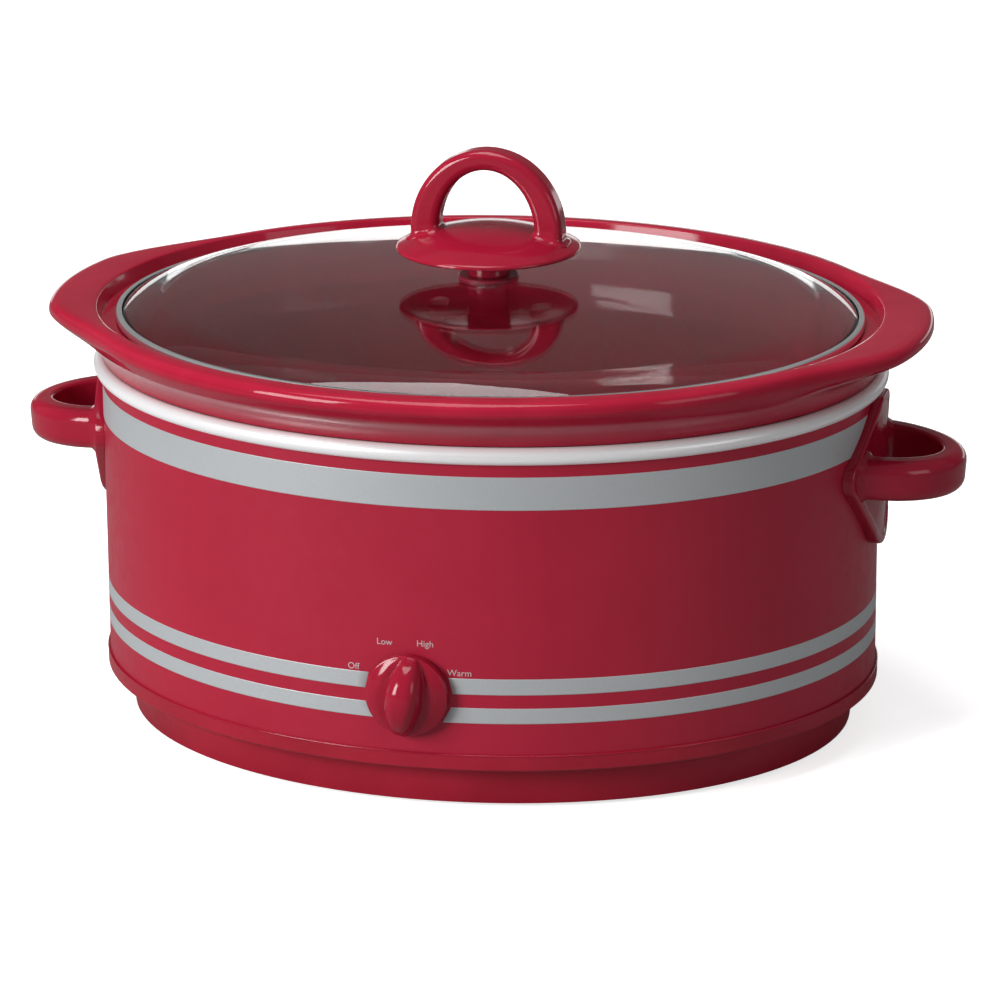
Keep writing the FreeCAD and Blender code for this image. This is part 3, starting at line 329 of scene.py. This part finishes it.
def gloss_moulding():
    """Glossy red moulded plastic with faint flow marks."""
    plastic = Finish("gloss_red_plastic", BRIGHT_RED, 0.12, Specular_IOR_Level=0.32)
    flow = plastic.noise(35, 3, (1, 1, 0.35), 0.6)
    plastic.drive("Base Color", plastic.mix(plastic.spread(flow, 0, 1), (0.285, 0.0065, 0.0235),
                                            (0.325, 0.0085, 0.0290)))
    plastic.drive("Roughness", plastic.spread(plastic.noise(420, 5), 0.09, 0.16))
    plastic.bump(plastic.noise(260, 2), 0.00004, 0.18)
    return plastic.material


def satin_moulding():
    """The base: the same red in a moulded plastic with a fine spark-eroded texture."""
    plastic = Finish("satin_red_plastic", RED, 0.34, Specular_IOR_Level=0.3)
    plastic.drive("Base Color", plastic.mix(plastic.spread(plastic.noise(26, 3), 0, 1), (0.27, 0.006, 0.019),
                                            (0.34, 0.010, 0.028)))
    plastic.drive("Roughness", plastic.spread(plastic.noise(300, 5), 0.28, 0.40))
    plastic.bump(plastic.noise(1800, 4), 0.00003, 0.4)
    return plastic.material


def glaze():
    """Red glaze over stoneware: wavy gloss, colour that pools, fine specks, bare clay underneath."""
    coat = Finish("red_stoneware_glaze", BRIGHT_RED, 0.08, Specular_IOR_Level=0.2)
    pooled = coat.mix(coat.spread(coat.noise(30, 5, distortion=0.8), 0, 1), (0.335, 0.0090, 0.0290),
                      (0.385, 0.0125, 0.0370))
    specks = coat.math("GREATER_THAN", coat.noise(1500, 2), 0.735)
    tint = coat.mix(coat.math("MULTIPLY", specks, 0.35), pooled, (0.10, 0.004, 0.008))
    bare = coat.spread(coat.height_of(), 1.0, 0.0, (CROCK_LOW.z + 1.2) * MM, (CROCK_LOW.z + 1.7) * MM)
    clay = coat.mix(coat.spread(coat.noise(420, 5), 0, 1), (0.42, 0.33, 0.24), (0.56, 0.46, 0.35))
    coat.drive("Base Color", coat.mix(bare, tint, clay))
    coat.drive("Roughness", coat.math("MAXIMUM", coat.spread(coat.noise(240, 4), 0.05, 0.12),
                                      coat.math("MULTIPLY", bare, 0.85)))
    coat.bump(coat.noise(75, 2), 0.00030, 0.25)
    coat.bump(coat.noise(620, 2), 0.00002, 0.25)
    return coat.material


def clear_glass():
    """Tempered soda glass: clear, faintly green, slightly uneven like all pressed glass."""
    glass = Finish("clear_tempered_glass", (0.965, 0.985, 0.975), 0.0, Transmission_Weight=1.0, IOR=1.5)
    glass.drive("Roughness", glass.spread(glass.noise(90, 3), 0.0, 0.03))
    glass.bump(glass.noise(16, 1), 0.0006, 0.10)
    return glass.material


def bright_steel(name, roughness, grain, metallic=1.0):
    """Rolled steel with fine lines along the way it was drawn."""
    steel = Finish(name, (0.84, 0.85, 0.86), roughness, Metallic=metallic)
    lines = steel.noise(grain, 3, (0.15, 0.15, 6.0))
    steel.drive("Base Color", steel.mix(steel.spread(lines, 0, 1), (0.80, 0.81, 0.82), (0.88, 0.89, 0.90)))
    steel.drive("Roughness", steel.spread(lines, roughness * 0.8, roughness * 1.3))
    steel.bump(lines, 0.00001, 0.3)
    return steel.material


def plated_steel():
    """Zinc-plated screws, straps and brackets."""
    zinc = Finish("zinc_plated_steel", (0.58, 0.59, 0.58), 0.33, Metallic=1.0)
    spangle = zinc.noise(380, 4)
    zinc.drive("Base Color", zinc.mix(zinc.spread(spangle, 0, 1), (0.50, 0.52, 0.52), (0.68, 0.67, 0.63)))
    zinc.drive("Roughness", zinc.spread(spangle, 0.25, 0.45))
    zinc.bump(zinc.noise(1500, 3), 0.00001, 0.3)
    return zinc.material


def pressed_aluminium():
    """The heating well: drawn aluminium with a soft sheen and faint draw lines."""
    metal = Finish("drawn_aluminium", (0.78, 0.79, 0.80), 0.26, Metallic=1.0)
    lines = metal.noise(150, 4, (0.4, 0.4, 5.0))
    metal.drive("Base Color", metal.mix(metal.spread(lines, 0, 1), (0.72, 0.73, 0.74), (0.88, 0.89, 0.90)))
    metal.drive("Roughness", metal.spread(lines, 0.20, 0.34))
    metal.bump(lines, 0.00002, 0.2)
    return metal.material


def crinkled_foil():
    """Foil jacket of the heater band, crinkled where it was wrapped."""
    foil = Finish("heater_foil", (0.70, 0.70, 0.68), 0.35, Metallic=1.0)
    creases = foil.noise(240, 6, distortion=1.5)
    foil.drive("Base Color", foil.mix(foil.spread(creases, 0, 1), (0.58, 0.57, 0.54), (0.80, 0.80, 0.78)))
    foil.drive("Roughness", foil.spread(creases, 0.25, 0.50))
    foil.bump(creases, 0.0004, 0.6)
    return foil.material


def brass():
    metal = Finish("terminal_brass", (0.75, 0.55, 0.22), 0.30, Metallic=1.0)
    tarnish = metal.noise(500, 5)
    metal.drive("Base Color", metal.mix(metal.spread(tarnish, 0, 1), (0.62, 0.43, 0.16), (0.82, 0.62, 0.28)))
    metal.drive("Roughness", metal.spread(tarnish, 0.22, 0.42))
    return metal.material


def dull_plastic(name, dark, light, roughness, grain=1400):
    """Plain technical plastic with a fine moulded grain."""
    plastic = Finish(name, light, roughness)
    plastic.drive("Base Color", plastic.mix(plastic.spread(plastic.noise(120, 4), 0, 1), dark, light))
    plastic.drive("Roughness", plastic.spread(plastic.noise(grain / 4, 4), roughness * 0.85, roughness * 1.15))
    plastic.bump(plastic.noise(grain, 3), 0.00004, 0.4)
    return plastic.material


def woven_sleeve(name, dark, light):
    """Glass-fibre braid: two sets of fine diagonal threads."""
    braid = Finish(name, light, 0.7, Sheen_Weight=0.2)
    wave = braid.node("ShaderNodeTexWave", Vector=braid.where, Scale=900.0, Distortion=0.4)
    wave.bands_direction = "DIAGONAL"
    threads = wave.outputs["Fac"]
    braid.drive("Base Color", braid.mix(threads, dark, light))
    braid.bump(threads, 0.0001, 0.6)
    return braid.material


def soft_silicone():
    silicone = Finish("red_silicone", (0.25, 0.010, 0.028), 0.45, Subsurface_Weight=0.2,
                      Subsurface_Radius=(0.002,) * 3, Subsurface_Scale=0.5)
    silicone.drive("Base Color", silicone.mix(silicone.spread(silicone.noise(300, 3), 0, 1),
                                              (0.22, 0.008, 0.024), (0.28, 0.012, 0.032)))
    silicone.drive("Roughness", silicone.spread(silicone.noise(800, 3), 0.38, 0.52))
    return silicone.material


FINISHES = {
    "body_paint": satin_paint(),
    "base_moulding": satin_moulding(),
    "handle_moulding": gloss_moulding(),
    "stoneware_glaze": glaze(),
    "lid_glass": clear_glass(),
    "polished_steel": bright_steel("polished_steel", 0.12, 130, 0.8),
    "silicone": soft_silicone(),
    "well_metal": pressed_aluminium(),
    "foil_jacket": crinkled_foil(),
    "zinc_steel": plated_steel(),
    "brass": brass(),
    "switch_moulding": dull_plastic("brown_phenolic", (0.030, 0.020, 0.015), (0.055, 0.038, 0.028), 0.42),
    "cord_bush_moulding": dull_plastic("black_nylon", (0.010, 0.010, 0.011), (0.022, 0.022, 0.023), 0.48),
    "fuse_can": bright_steel("fuse_can_metal", 0.30, 400),
    "glass_sleeve": woven_sleeve("glass_fibre_sleeve", (0.55, 0.52, 0.45), (0.82, 0.80, 0.72)),
    "lead_insulation": woven_sleeve("lead_braid", (0.60, 0.58, 0.54), (0.84, 0.83, 0.79)),
    "crimp_caps": dull_plastic("natural_nylon", (0.62, 0.60, 0.54), (0.76, 0.74, 0.68), 0.40, 700),
    "foot_rubber": dull_plastic("black_rubber", (0.012, 0.012, 0.012), (0.030, 0.029, 0.028), 0.75, 2600),
}
SATIN_RIM = bright_steel("satin_rolled_rim", 0.30, 60, 0.20)
INK = printed_grey("printed_grey_ink", (0.37, 0.395, 0.405), (0.47, 0.495, 0.51))
PALE_INK = printed_grey("printed_pale_ink", (0.47, 0.37, 0.39), (0.57, 0.46, 0.48))

for part in frame["record"]["subparts"]:
    slots = frame["nodes"][part["node"]].data.materials
    slots.clear()
    slots.append(FINISHES[part["material_slot"]])


# ---------------------------------------------------------------- what is printed on the casing

LIFT = 0.06              # how far the ink stands out from the paint
SUNK = -0.1              # and how far it reaches into the paint
DIAL_CLEAR = 18.6        # radius round the knob that the narrow stripes keep clear of
CAPITAL = 2.7            # height of a capital letter on the dial


def on_casing(x, z, out):
    """A place on the front of the casing."""
    return Vector((x, -CASE_Y * math.sqrt(1 - (x / CASE_X) ** 2) - out, z))


def stripe_levels(low, high):
    """A thin closed section: (outwards, height)."""
    fine = 0.3
    return [(SUNK, low), (LIFT, low), (LIFT, low + fine), (LIFT, (low + high) / 2), (LIFT, high - fine),
            (LIFT, high), (SUNK, high)]


def whole_stripe(low, high):
    return skin(offset_rings(CASE_X, CASE_Y, stripe_levels(low, high)), tube=True)


def broken_stripe(low, high):
    """A stripe that runs round the back and ends each side of the dial."""
    rings = []
    for out, z in stripe_levels(low, high):
        start = math.asin(math.sqrt(DIAL_CLEAR ** 2 - (z - KNOB_Z) ** 2) / CASE_X)
        turns = [start + (2 * math.pi - 2 * start) * i / AROUND for i in range(AROUND + 1)]
        rings.append([Vector(((CASE_X + out) * math.sin(t), -(CASE_Y + out) * math.cos(t), z)) for t in turns])
    vertices, faces = skin(rings, ring_closed=False, tube=True)
    count = AROUND + 1
    faces.append([i * count for i in range(len(rings))])
    faces.append([i * count + AROUND for i in range(len(rings))])
    return vertices, faces


def dial_word(word, turn, reach=23.6):
    """Raised lettering bent to the casing, at reach from the knob's axis and turn degrees from the top."""
    face = bpy.data.curves.new(word, "FONT")
    face.body = word
    face.align_x, face.align_y = "CENTER", "CENTER"
    face.size, face.extrude, face.resolution_u = CAPITAL / 0.7, 1.0, 4
    holder = bpy.data.objects.new(word, face)
    flat = bpy.data.meshes.new_from_object(holder)
    centre_x = reach * math.sin(math.radians(turn))
    centre_z = KNOB_Z + reach * math.cos(math.radians(turn))
    vertices = [on_casing(centre_x + v.co.x, centre_z + v.co.y, LIFT if v.co.z > 0 else SUNK / 2)
                for v in flat.vertices]
    faces = [tuple(polygon.vertices) for polygon in flat.polygons]
    bpy.data.objects.remove(holder)
    bpy.data.meshes.remove(flat)
    bpy.data.curves.remove(face)
    return vertices, faces


def print_on_casing():
    piece("print_band_wide", [whole_stripe(132.5, 146.5)], "housing", "body_paint", finish=INK)
    piece("print_band_upper", [broken_stripe(53.2, 60.1)], "housing", "body_paint", finish=INK)
    piece("print_band_lower", [broken_stripe(40.7, 47.4)], "housing", "body_paint", finish=INK)
    words = [dial_word("Off", -68, 25.4), dial_word("Low", -25), dial_word("High", 18.5, 22.9),
             dial_word("Warm", 65.5)]
    lettering = piece("print_dial_words", words, "housing", "body_paint", finish=PALE_INK)
    lettering.data.shade_flat()


# ---------------------------------------------------------------- control knob

KNOB_EDGE, KNOB_BACK = KNOB_HIGH.x, KNOB_HIGH.y
KNOB_RIM, KNOB_DOME, KNOB_CREST = 3.4, 8.9, 16.1      # heights over its back: rim, low dome, ridge
KNOB_REST = math.radians(9.0)                         # the ridge leans clockwise, seen from the front


def domed(distance, top):
    """Height of a round dome over the knob, level at its middle, that meets the rim at the edge."""
    rise = top - KNOB_RIM
    radius = (KNOB_EDGE ** 2 + rise ** 2) / (2 * rise)
    return top - radius + math.sqrt(radius ** 2 - distance ** 2)


def knob_height(x, y):
    """Height of the knob's front at (x across the ridge, y along it): a scooped dome and an almond ridge."""
    lens_radius, half_wide, foot_wide = 30.0, 7.0, 0.9
    scoop_deep, scoop_wide = 1.7, 3.6
    distance = math.hypot(x, y)
    lens = math.sqrt(lens_radius ** 2 - y ** 2) - (lens_radius - half_wide)
    scoop = scoop_deep * math.exp(-(max(abs(x) - lens, 0.0) / scoop_wide) ** 2)
    scoop *= 1 - smooth_step(0.62, 0.97, distance / KNOB_EDGE)
    low = domed(distance, KNOB_DOME) - scoop
    share = min(abs(x) / (lens + foot_wide), 1.0)
    return low + (domed(abs(y), KNOB_CREST) - low) * math.sqrt(1 - share ** 2.6)


def knob():
    """An almond ridge across a low dome; hollow behind, with a bored hub."""
    edge_round, count, rings_out = 0.5, 288, 84
    bore, hub, bowl, deep = 3.05, 5.2, 13.0, 3.7
    behind = softened((0.0, 14.6, 0), (bore, 14.6, 0), (bore, 0.5, 0.2), (hub, 0.5, 0.2), (hub, deep, 0.8),
                      (bowl, deep, 0.8), (bowl, 0.0, 0.2), (KNOB_EDGE, 0.0, 0.35),
                      (KNOB_EDGE, KNOB_RIM - 1.0, 0), steps=3, margin=0.15)
    turns = [2 * math.pi * i / count for i in range(count)]
    rings = [[(r * math.cos(t), r * math.sin(t), h) for t in turns] for r, h in behind if r > 0]
    for i in range(rings_out):
        r = KNOB_EDGE - (KNOB_EDGE - 0.02) * i / rings_out
        inner = min(r, KNOB_EDGE - edge_round)
        drop = max(0.0, r - (KNOB_EDGE - edge_round))
        ring = []
        for t in turns:
            height = knob_height(inner * math.cos(t), inner * math.sin(t))
            height -= edge_round - math.sqrt(max(0.0, edge_round ** 2 - drop ** 2))
            ring.append((r * math.cos(t), r * math.sin(t), height))
        rings.append(ring)
    lean = Matrix.Rotation(KNOB_REST, 3, "Y")
    placed = [[lean @ Vector((x, 0, y)) + Vector((0, KNOB_BACK - h, KNOB_Z)) for x, y, h in ring]
              for ring in rings]
    piece("knob_moulding", [skin(placed, "point", "point")], "knob", "handle_moulding", "control_knob")


# ---------------------------------------------------------------- base lip and rolled rim

def beading(out, z, radius, steps):
    """A round bead that runs along the casing, its middle at out from the casing and height z."""
    turns = [2 * math.pi * i / steps for i in range(steps)]
    section = [(radius * math.cos(t), z + radius * math.sin(t)) for t in turns]
    return skin(offset_rings(CASE_X + out, CASE_Y + out, section), tube=True)


def base_edge():
    """The fine rounded lip along the top of the base."""
    lip = beading(0.65, CASE_LOW.z - 0.3, 0.5, 12)
    piece("base_lip", [lip], "housing", "base_moulding", finish=FINISHES["handle_moulding"])


def rolled_rim():
    """The bright bead round the top of the casing, drawn a hair proud of the liner it belongs to."""
    bead = beading(0.0, WELL_TOP - 3.6, 3.66, 32)
    piece("rim_bead", [bead], "housing", "well_metal", finish=SATIN_RIM)


# ---------------------------------------------------------------- crock

EAR = 15.5               # how far the crock's two ears stand out


def crock_ring(half_x, half_y, height, ear):
    """A level oval whose two ends stand out by ear."""
    ring = []
    for i in range(AROUND):
        turn = 2 * math.pi * i / AROUND
        x, y = half_x * math.cos(turn), half_y * math.sin(turn)
        x += math.copysign(ear * (1 - smooth_step(35, 92, abs(y))), x)
        ring.append(Vector((x, y, height)))
    return ring


def crock():
    """A thick bowl with a flared, eared rim and a ledge for the lid."""
    top, foot = CROCK_HIGH.z, CROCK_LOW.z
    skirt, groove, ledge, floor = top - 22.9, top - 15.3, top - 7, foot + 7
    # The rim's outer face: in from the widest oval along X and Y, down from the top, share of the ear.
    outer = [(7.4, 17.1, 22.9, 0.0), (6.7, 15.7, 21.0, 0.0), (5.2, 12.2, 17.0, 0.02), (3.6, 8.2, 13.7, 0.12),
             (2.2, 5.0, 11.0, 0.4), (1.0, 2.4, 8.4, 0.78), (0.2, 0.4, 6.2, 0.97), (0.0, 0.0, 4.5, 1.0),
             (0.5, 0.7, 2.0, 1.0), (2.0, 3.0, 0.5, 0.98), (4.4, 7.0, 0.0, 0.92)]
    side = curved(*[(176 - x, 158 - y, top - down, EAR * share) for x, y, down, share in outer])
    # Below and inside: half length, half width, height, ear, rounding.
    below = softened((90, 72, foot + 1.5, 0, 0), (122, 97, foot + 1.5, 0, 1), (124, 99, foot, 0, 1),
                     (143, 115, foot, 0, 13), (151, 123, skirt - 1, 0, 3), (156.8, 130.4, groove, 0, 2),
                     (164.4, 138.2, groove, 0, 1.5), (162.8, 135.4, skirt, 0, 1.0),
                     (168.2, 140.5, skirt, 0, 0), steps=6)
    inside = softened((171.6, 151.0, top, EAR * 0.92, 0), (170.4, 147.9, top, 0.0, 1.3),
                      (168.0, 145.6, ledge, 0, 0.9), (155.0, 132.6, ledge, 0, 1.4),
                      (153.4, 130.8, top - 9, 0, 2), (150.0, 125.9, top - 14.7, 0, 6),
                      (146.6, 120.2, top - 23.2, 0, 8), (144.5, 116.5, top - 32.2, 0, 20),
                      (136.5, 108.5, floor, 0, 12), (40, 32, floor, 0, 0), steps=6)
    rings = [crock_ring(*p) for p in below + side + inside[1:]]
    piece("crock_bowl", [skin(rings, "point", "point")], "crock", "stoneware_glaze", "stoneware_crock")


# ---------------------------------------------------------------- lid

def lid_glass_dome():
    """A pressed glass of even thickness: a sloping shoulder round a nearly flat crown with a drilled middle."""
    rim, foot, top, wall, hole = GLASS_HIGH.x, GLASS_LOW.z, GLASS_HIGH.z, 3.8, 3.8
    turn_out, turn_in = Vector((rim - 20.8, top - 7.4)), Vector((rim - 22.3, top - 11.0))
    squeeze = GLASS_HIGH.y / GLASS_HIGH.x
    path = [Vector((rim - wall, foot)), Vector((rim - 0.5, foot)), Vector((rim, foot + 0.5))]
    path += bulged((rim, foot + 1.0), turn_out, 1.9, 14)
    path += bulged(turn_out, (hole, top), 1.9, 40)[1:]
    path += bulged((hole, top - wall), turn_in, -1.85, 40)
    path += bulged(turn_in, (rim - wall, foot), -1.1, 14)[1:-1]
    piece("lid_dome", [skin(round_rings(path, squeeze), tube=True)], "lid", "lid_glass", "lid_glass")


def lid_hoop():
    """The steel hoop that grips the edge of the glass."""
    low, high = HOOP_LOW.z, HOOP_HIGH.z
    section = softened((-6.3, low, 0.2), (0.0, low, 0.9), (0.0, high, 0.9), (-2.6, high, 0.3),
                       (-2.6, high - 0.6, 0.2), (-1.25, high - 1.6, 0.3), (-1.15, low + 0.7, 0.2),
                       (-6.3, low + 0.7, 0.2), closed=True, steps=4, margin=0.2)
    rings = offset_rings(HOOP_HIGH.x, HOOP_HIGH.y, [(p.x, p.y) for p in section])
    piece("lid_hoop", [skin(rings, tube=True)], "lid", "polished_steel", "lid_band")


def filleted(rise, radius):
    """How far a wall spreads at a point that is this far above the surface it meets."""
    if rise >= radius:
        return 0.0
    rise = max(rise, 0.0)
    return radius - math.sqrt(radius ** 2 - (radius - rise) ** 2)


def box_section(inner, outer, low, high, corners, steps=6):
    """A closed section with four rounded corners: inner low, outer low, outer high, inner high."""
    places = [Vector(p) for p in ((inner, low), (outer, low), (outer, high), (inner, high))]
    path = []
    for i, radius in enumerate(corners):
        path += arc_at(places[i - 1], places[i], places[(i + 1) % 4], radius, steps)
    section = []
    for i, point in enumerate(path):
        section.append(point)
        if i % (steps + 1) == steps:
            # Two more points on each flat side keep its shading flat.
            ahead = path[(i + 1) % len(path)]
            section += [point.lerp(ahead, 0.12), point.lerp(ahead, 0.88)]
    return section


def lid_grip():
    """A mushroom disc with an arch across it whose legs flare into the disc."""
    radius, edge, crown = GRIP_HIGH.x - 0.4, 205.6, 215.4
    foot = GLASS_HIGH.z + 1.4
    dome = bulged((radius, edge + 1.5), (0.0, crown), 2.7, 36)

    def disc_top(r):
        for a, b in zip(dome, dome[1:]):
            if b.x <= r <= a.x:
                return a.y + (b.y - a.y) * (a.x - r) / (a.x - b.x)
        return edge

    bore_radius, stem = 1.8, 9
    under = softened((bore_radius, foot, 0), (stem, foot, 0.3), (stem, 211.0, 1.0), (37.2, edge, 0.5),
                     (radius - 0.4, edge, 0.4), (radius, edge + 0.5, 0.3), (radius, edge + 1.5, 0),
                     steps=3, margin=0.2)
    bore = [Vector((bore_radius, foot + 9)), Vector((bore_radius, foot + 0.4))]
    profile = bore + under + dome[1:-1]
    disc = skin(round_rings([(p.x, p.y) for p in profile]), "point", "point")
    centre_z, deep = 213.5, 13.4
    out_x, out_z = 33.3, GRIP_HIGH.z - 0.5 - centre_z
    in_x, in_z = 21.2, 240.6 - centre_z
    rings = []
    # The arch's legs go on straight down into the disc at both ends.
    drops = [-6.0 + 0.5 * i for i in range(12)]
    turns = [(0.0, drop) for drop in drops]
    turns += [(math.pi * i / 72, 0.0) for i in range(73)]
    turns += [(math.pi, drop) for drop in reversed(drops)]
    for turn, drop in turns:
        inner = Vector((in_x * math.cos(turn), 0, centre_z + in_z * math.sin(turn) + drop))
        outer = Vector((out_x * math.cos(turn), 0, centre_z + out_z * math.sin(turn) + drop))
        across = outer - inner
        wide = across.length
        across.normalize()
        middle = (inner + outer) / 2
        ring = []
        for p in box_section(-wide / 2, wide / 2, -deep / 2, deep / 2, (3.4, 3.2, 3.2, 3.4)):
            spot = middle + across * p.x + Vector((0, p.y, 0))
            spread = filleted(spot.z - disc_top(math.hypot(spot.x, spot.y)), 2.4)
            away = spot - middle
            away.z = 0
            away.normalize()
            ring.append(spot + away * spread)
        rings.append(ring)
    piece("lid_grip", [disc, skin(rings, "point", "point")], "lid", "handle_moulding", "lid_handle")


# ---------------------------------------------------------------- side handles

SIDE_Z = 122.5                    # mid height of the side handles' loops, at the shield
SHIELD_OUT = 3.6                  # how far the middle of the shield stands out from the casing
SHIELD_BORDER = 5.2               # width of its raised border


def shield_outline():
    """The outline of the shield, as (across, up), with even rounding."""
    return softened((0, 76, 22), (45.5, 124, 9), (8, 152.2, 6), (-8, 152.2, 6), (-45.5, 124, 9), closed=True,
                    steps=14, margin=3.0)


def inwards(outline, distance):
    """The outline moved in by a distance."""
    moved = []
    count = len(outline)
    for i, p in enumerate(outline):
        along = (outline[(i + 1) % count] - outline[i - 1]).normalized()
        moved.append(p + Vector((-along.y, along.x)) * distance)
    return moved


def side_handle(name, side, node):
    """A bordered shield that follows the casing, and a D-shaped loop that flares into it."""
    def skin_x(y, out):
        return (CASE_X + out) * math.sqrt(1 - (y / (CASE_Y + out)) ** 2)

    outline = shield_outline()
    rings = []
    # Each step: how far in from the outline, and how far out from the casing.
    for inset, out in ((0.0, -0.3), (0.0, 0.4), (0.0, 3.4), (0.12, 3.95), (0.45, 4.35), (0.95, 4.5), (1.3, 4.5),
                       (2.7, 4.5), (3.2, 4.42), (3.6, 4.25), (4.1, 3.95), (4.6, 3.72),
                       (SHIELD_BORDER, SHIELD_OUT)):
        rings.append([Vector((skin_x(p.x, out), p.x, p.y)) for p in inwards(outline, inset)])
    core = inwards(outline, SHIELD_BORDER)
    middle = Vector((0, 122))
    for i in range(1, 16):
        share = i / 16
        out = SHIELD_OUT + 1.0 * smooth_step(0.05, 0.75, share)
        spots = [p + (middle - p) * share for p in core]
        rings.append([Vector((skin_x(p.x, out), p.x, p.y)) for p in spots])
    plate = skin(rings, "open", "point")
    back_ring = [Vector((skin_x(p.x * 0.5, -0.3), p.x * 0.5, middle.y + (p.y - middle.y) * 0.5))
                 for p in outline]
    back = skin([back_ring, rings[0]], "point", "open")
    root, high = 166.0, 17.6
    droop = math.radians(4.0)
    mid_z = SIDE_Z + 6 * math.tan(droop)
    in_x, in_y, out_x, out_y = 31.0, 24.0, 41.7, 35.5
    loop = []
    for i in range(73):
        turn = math.pi * (i / 72 - 0.5)
        inner = Vector((in_x * math.cos(turn), in_y * math.sin(turn), 0))
        outer = Vector((out_x * math.cos(turn), out_y * math.sin(turn), 0))
        across = outer - inner
        wide = across.length
        across.normalize()
        centre = (inner + outer) / 2
        ring = []
        for p in box_section(-wide / 2, wide / 2, -high / 2, high / 2, (2.2, 7.0, 10.0, 1.8)):
            flat = centre + across * p.x + Vector((0, 0, p.y))
            spot = Vector((root + flat.x * math.cos(droop) + flat.z * math.sin(droop), flat.y,
                           mid_z - flat.x * math.sin(droop) + flat.z * math.cos(droop)))
            core_spot = Vector((spot.x, centre.y, mid_z - centre.x * math.sin(droop)))
            away = spot - core_spot
            away.x = 0
            if away.length > 0:
                away.normalize()
            ring.append(spot + away * filleted(spot.x - skin_x(spot.y, 4.2), 2.0))
        loop.append(ring)
    parts = [plate, back, skin(loop, "point", "point")]
    mirrored = [([Vector((side * v.x, v.y, v.z)) for v in vertices], faces) for vertices, faces in parts]
    piece(name, mirrored, "housing", "handle_moulding", node)


print_on_casing()
base_edge()
rolled_rim()
knob()
crock()
lid_glass_dome()
lid_hoop()
lid_grip()
side_handle("side_grip_right", 1, "right_handle")
side_handle("side_grip_left", -1, "left_handle")


# ---------------------------------------------------------------- stage, light and camera

def floor_and_backdrop():
    """A pale floor that sweeps up behind the object."""
    reach, depth, height, bend = 6.0, 3.5, 4.0, 1.2
    profile = [Vector((-reach, 0.0)), Vector((depth - bend, 0.0))]
    for i in range(1, 13):
        turn = math.radians(90 * i / 12)
        profile.append(Vector((depth - bend + bend * math.sin(turn), bend - bend * math.cos(turn))))
    profile.append(Vector((depth, height)))
    data = bpy.data.meshes.new("floor")
    vertices = [(side * reach, p.x, p.y) for p in profile for side in (-1, 1)]
    data.from_pydata(vertices, [], [(2 * i, 2 * i + 1, 2 * i + 3, 2 * i + 2) for i in range(len(profile) - 1)])
    data.shade_smooth()
    paper = Finish("pale_paper", (0.93, 0.93, 0.93), 0.9, Specular_IOR_Level=0.0)
    seen = paper.tree.nodes.new("ShaderNodeLightPath").outputs["Is Camera Ray"]
    # The paper is lit up for the camera, and only a little of it shines back on the cooker.
    paper.drive("Base Color", paper.mix(seen, (0.34, 0.33, 0.33), (0.93, 0.93, 0.93)))
    paper.set("Emission Color", (1.0, 1.0, 1.0, 1.0))
    paper.drive("Emission Strength", paper.math("MULTIPLY", seen, 0.7))
    data.materials.append(paper.material)
    floor = bpy.data.objects.new("floor", data)
    SCENE.collection.objects.link(floor)


def softbox(name, at, aim, width, height, power, colour=(1, 1, 1)):
    data = bpy.data.lights.new(name, "AREA")
    data.shape = "RECTANGLE"
    data.size, data.size_y = width, height
    data.energy = power
    data.color = colour
    light = bpy.data.objects.new(name, data)
    light.location = at
    light.rotation_euler = (Vector(aim) - Vector(at)).to_track_quat("-Z", "Y").to_euler()
    light.visible_camera = False
    SCENE.collection.objects.link(light)


def light_the_studio():
    world = bpy.data.worlds.new("studio")
    SCENE.world = world
    world.use_nodes = True
    tree = world.node_tree
    tree.nodes["Background"].inputs["Color"].default_value = (1.0, 1.0, 1.0, 1.0)
    seen = tree.nodes.new("ShaderNodeLightPath").outputs["Is Camera Ray"]
    strength = tree.nodes.new("ShaderNodeMapRange")
    strength.inputs["To Min"].default_value = 0.22
    strength.inputs["To Max"].default_value = 1.0
    tree.links.new(seen, strength.inputs["Value"])
    tree.links.new(strength.outputs["Result"], tree.nodes["Background"].inputs["Strength"])
    softbox("key_left", (-1.55, -1.85, 0.95), (0, 0, 0.09), 1.0, 1.1, 62)
    softbox("top", (-0.25, -0.25, 2.0), (0, 0, 0.1), 1.3, 1.0, 25)
    softbox("fill_right", (2.2, -1.1, 0.7), (0, 0, 0.1), 1.0, 1.0, 6.5)
    softbox("horizon", (-0.2, 2.4, 0.22), (-0.2, 0, 0.22), 3.4, 0.38, 6)
    SCENE.view_settings.view_transform = "Standard"


def place_camera():
    """Stands in front and a little to the right, looking down at the cooker."""
    data = bpy.data.cameras.new("camera")
    data.sensor_width = 36.0
    data.lens = 174.3
    back = Vector((0.2279, -0.9271, 0.2977)).normalized()
    level = Vector((0, 0, 1)).cross(back).normalized()
    roll = Matrix.Rotation(math.radians(-0.308), 3, back)
    right = roll @ level
    turn = Matrix((right, back.cross(right), back)).transposed()
    camera = bpy.data.objects.new("camera", data)
    camera.matrix_world = Matrix.Translation((0.4845, -1.9527, 0.7199)) @ turn.to_4x4()
    SCENE.collection.objects.link(camera)
    SCENE.camera = camera


floor_and_backdrop()
light_the_studio()
place_camera()
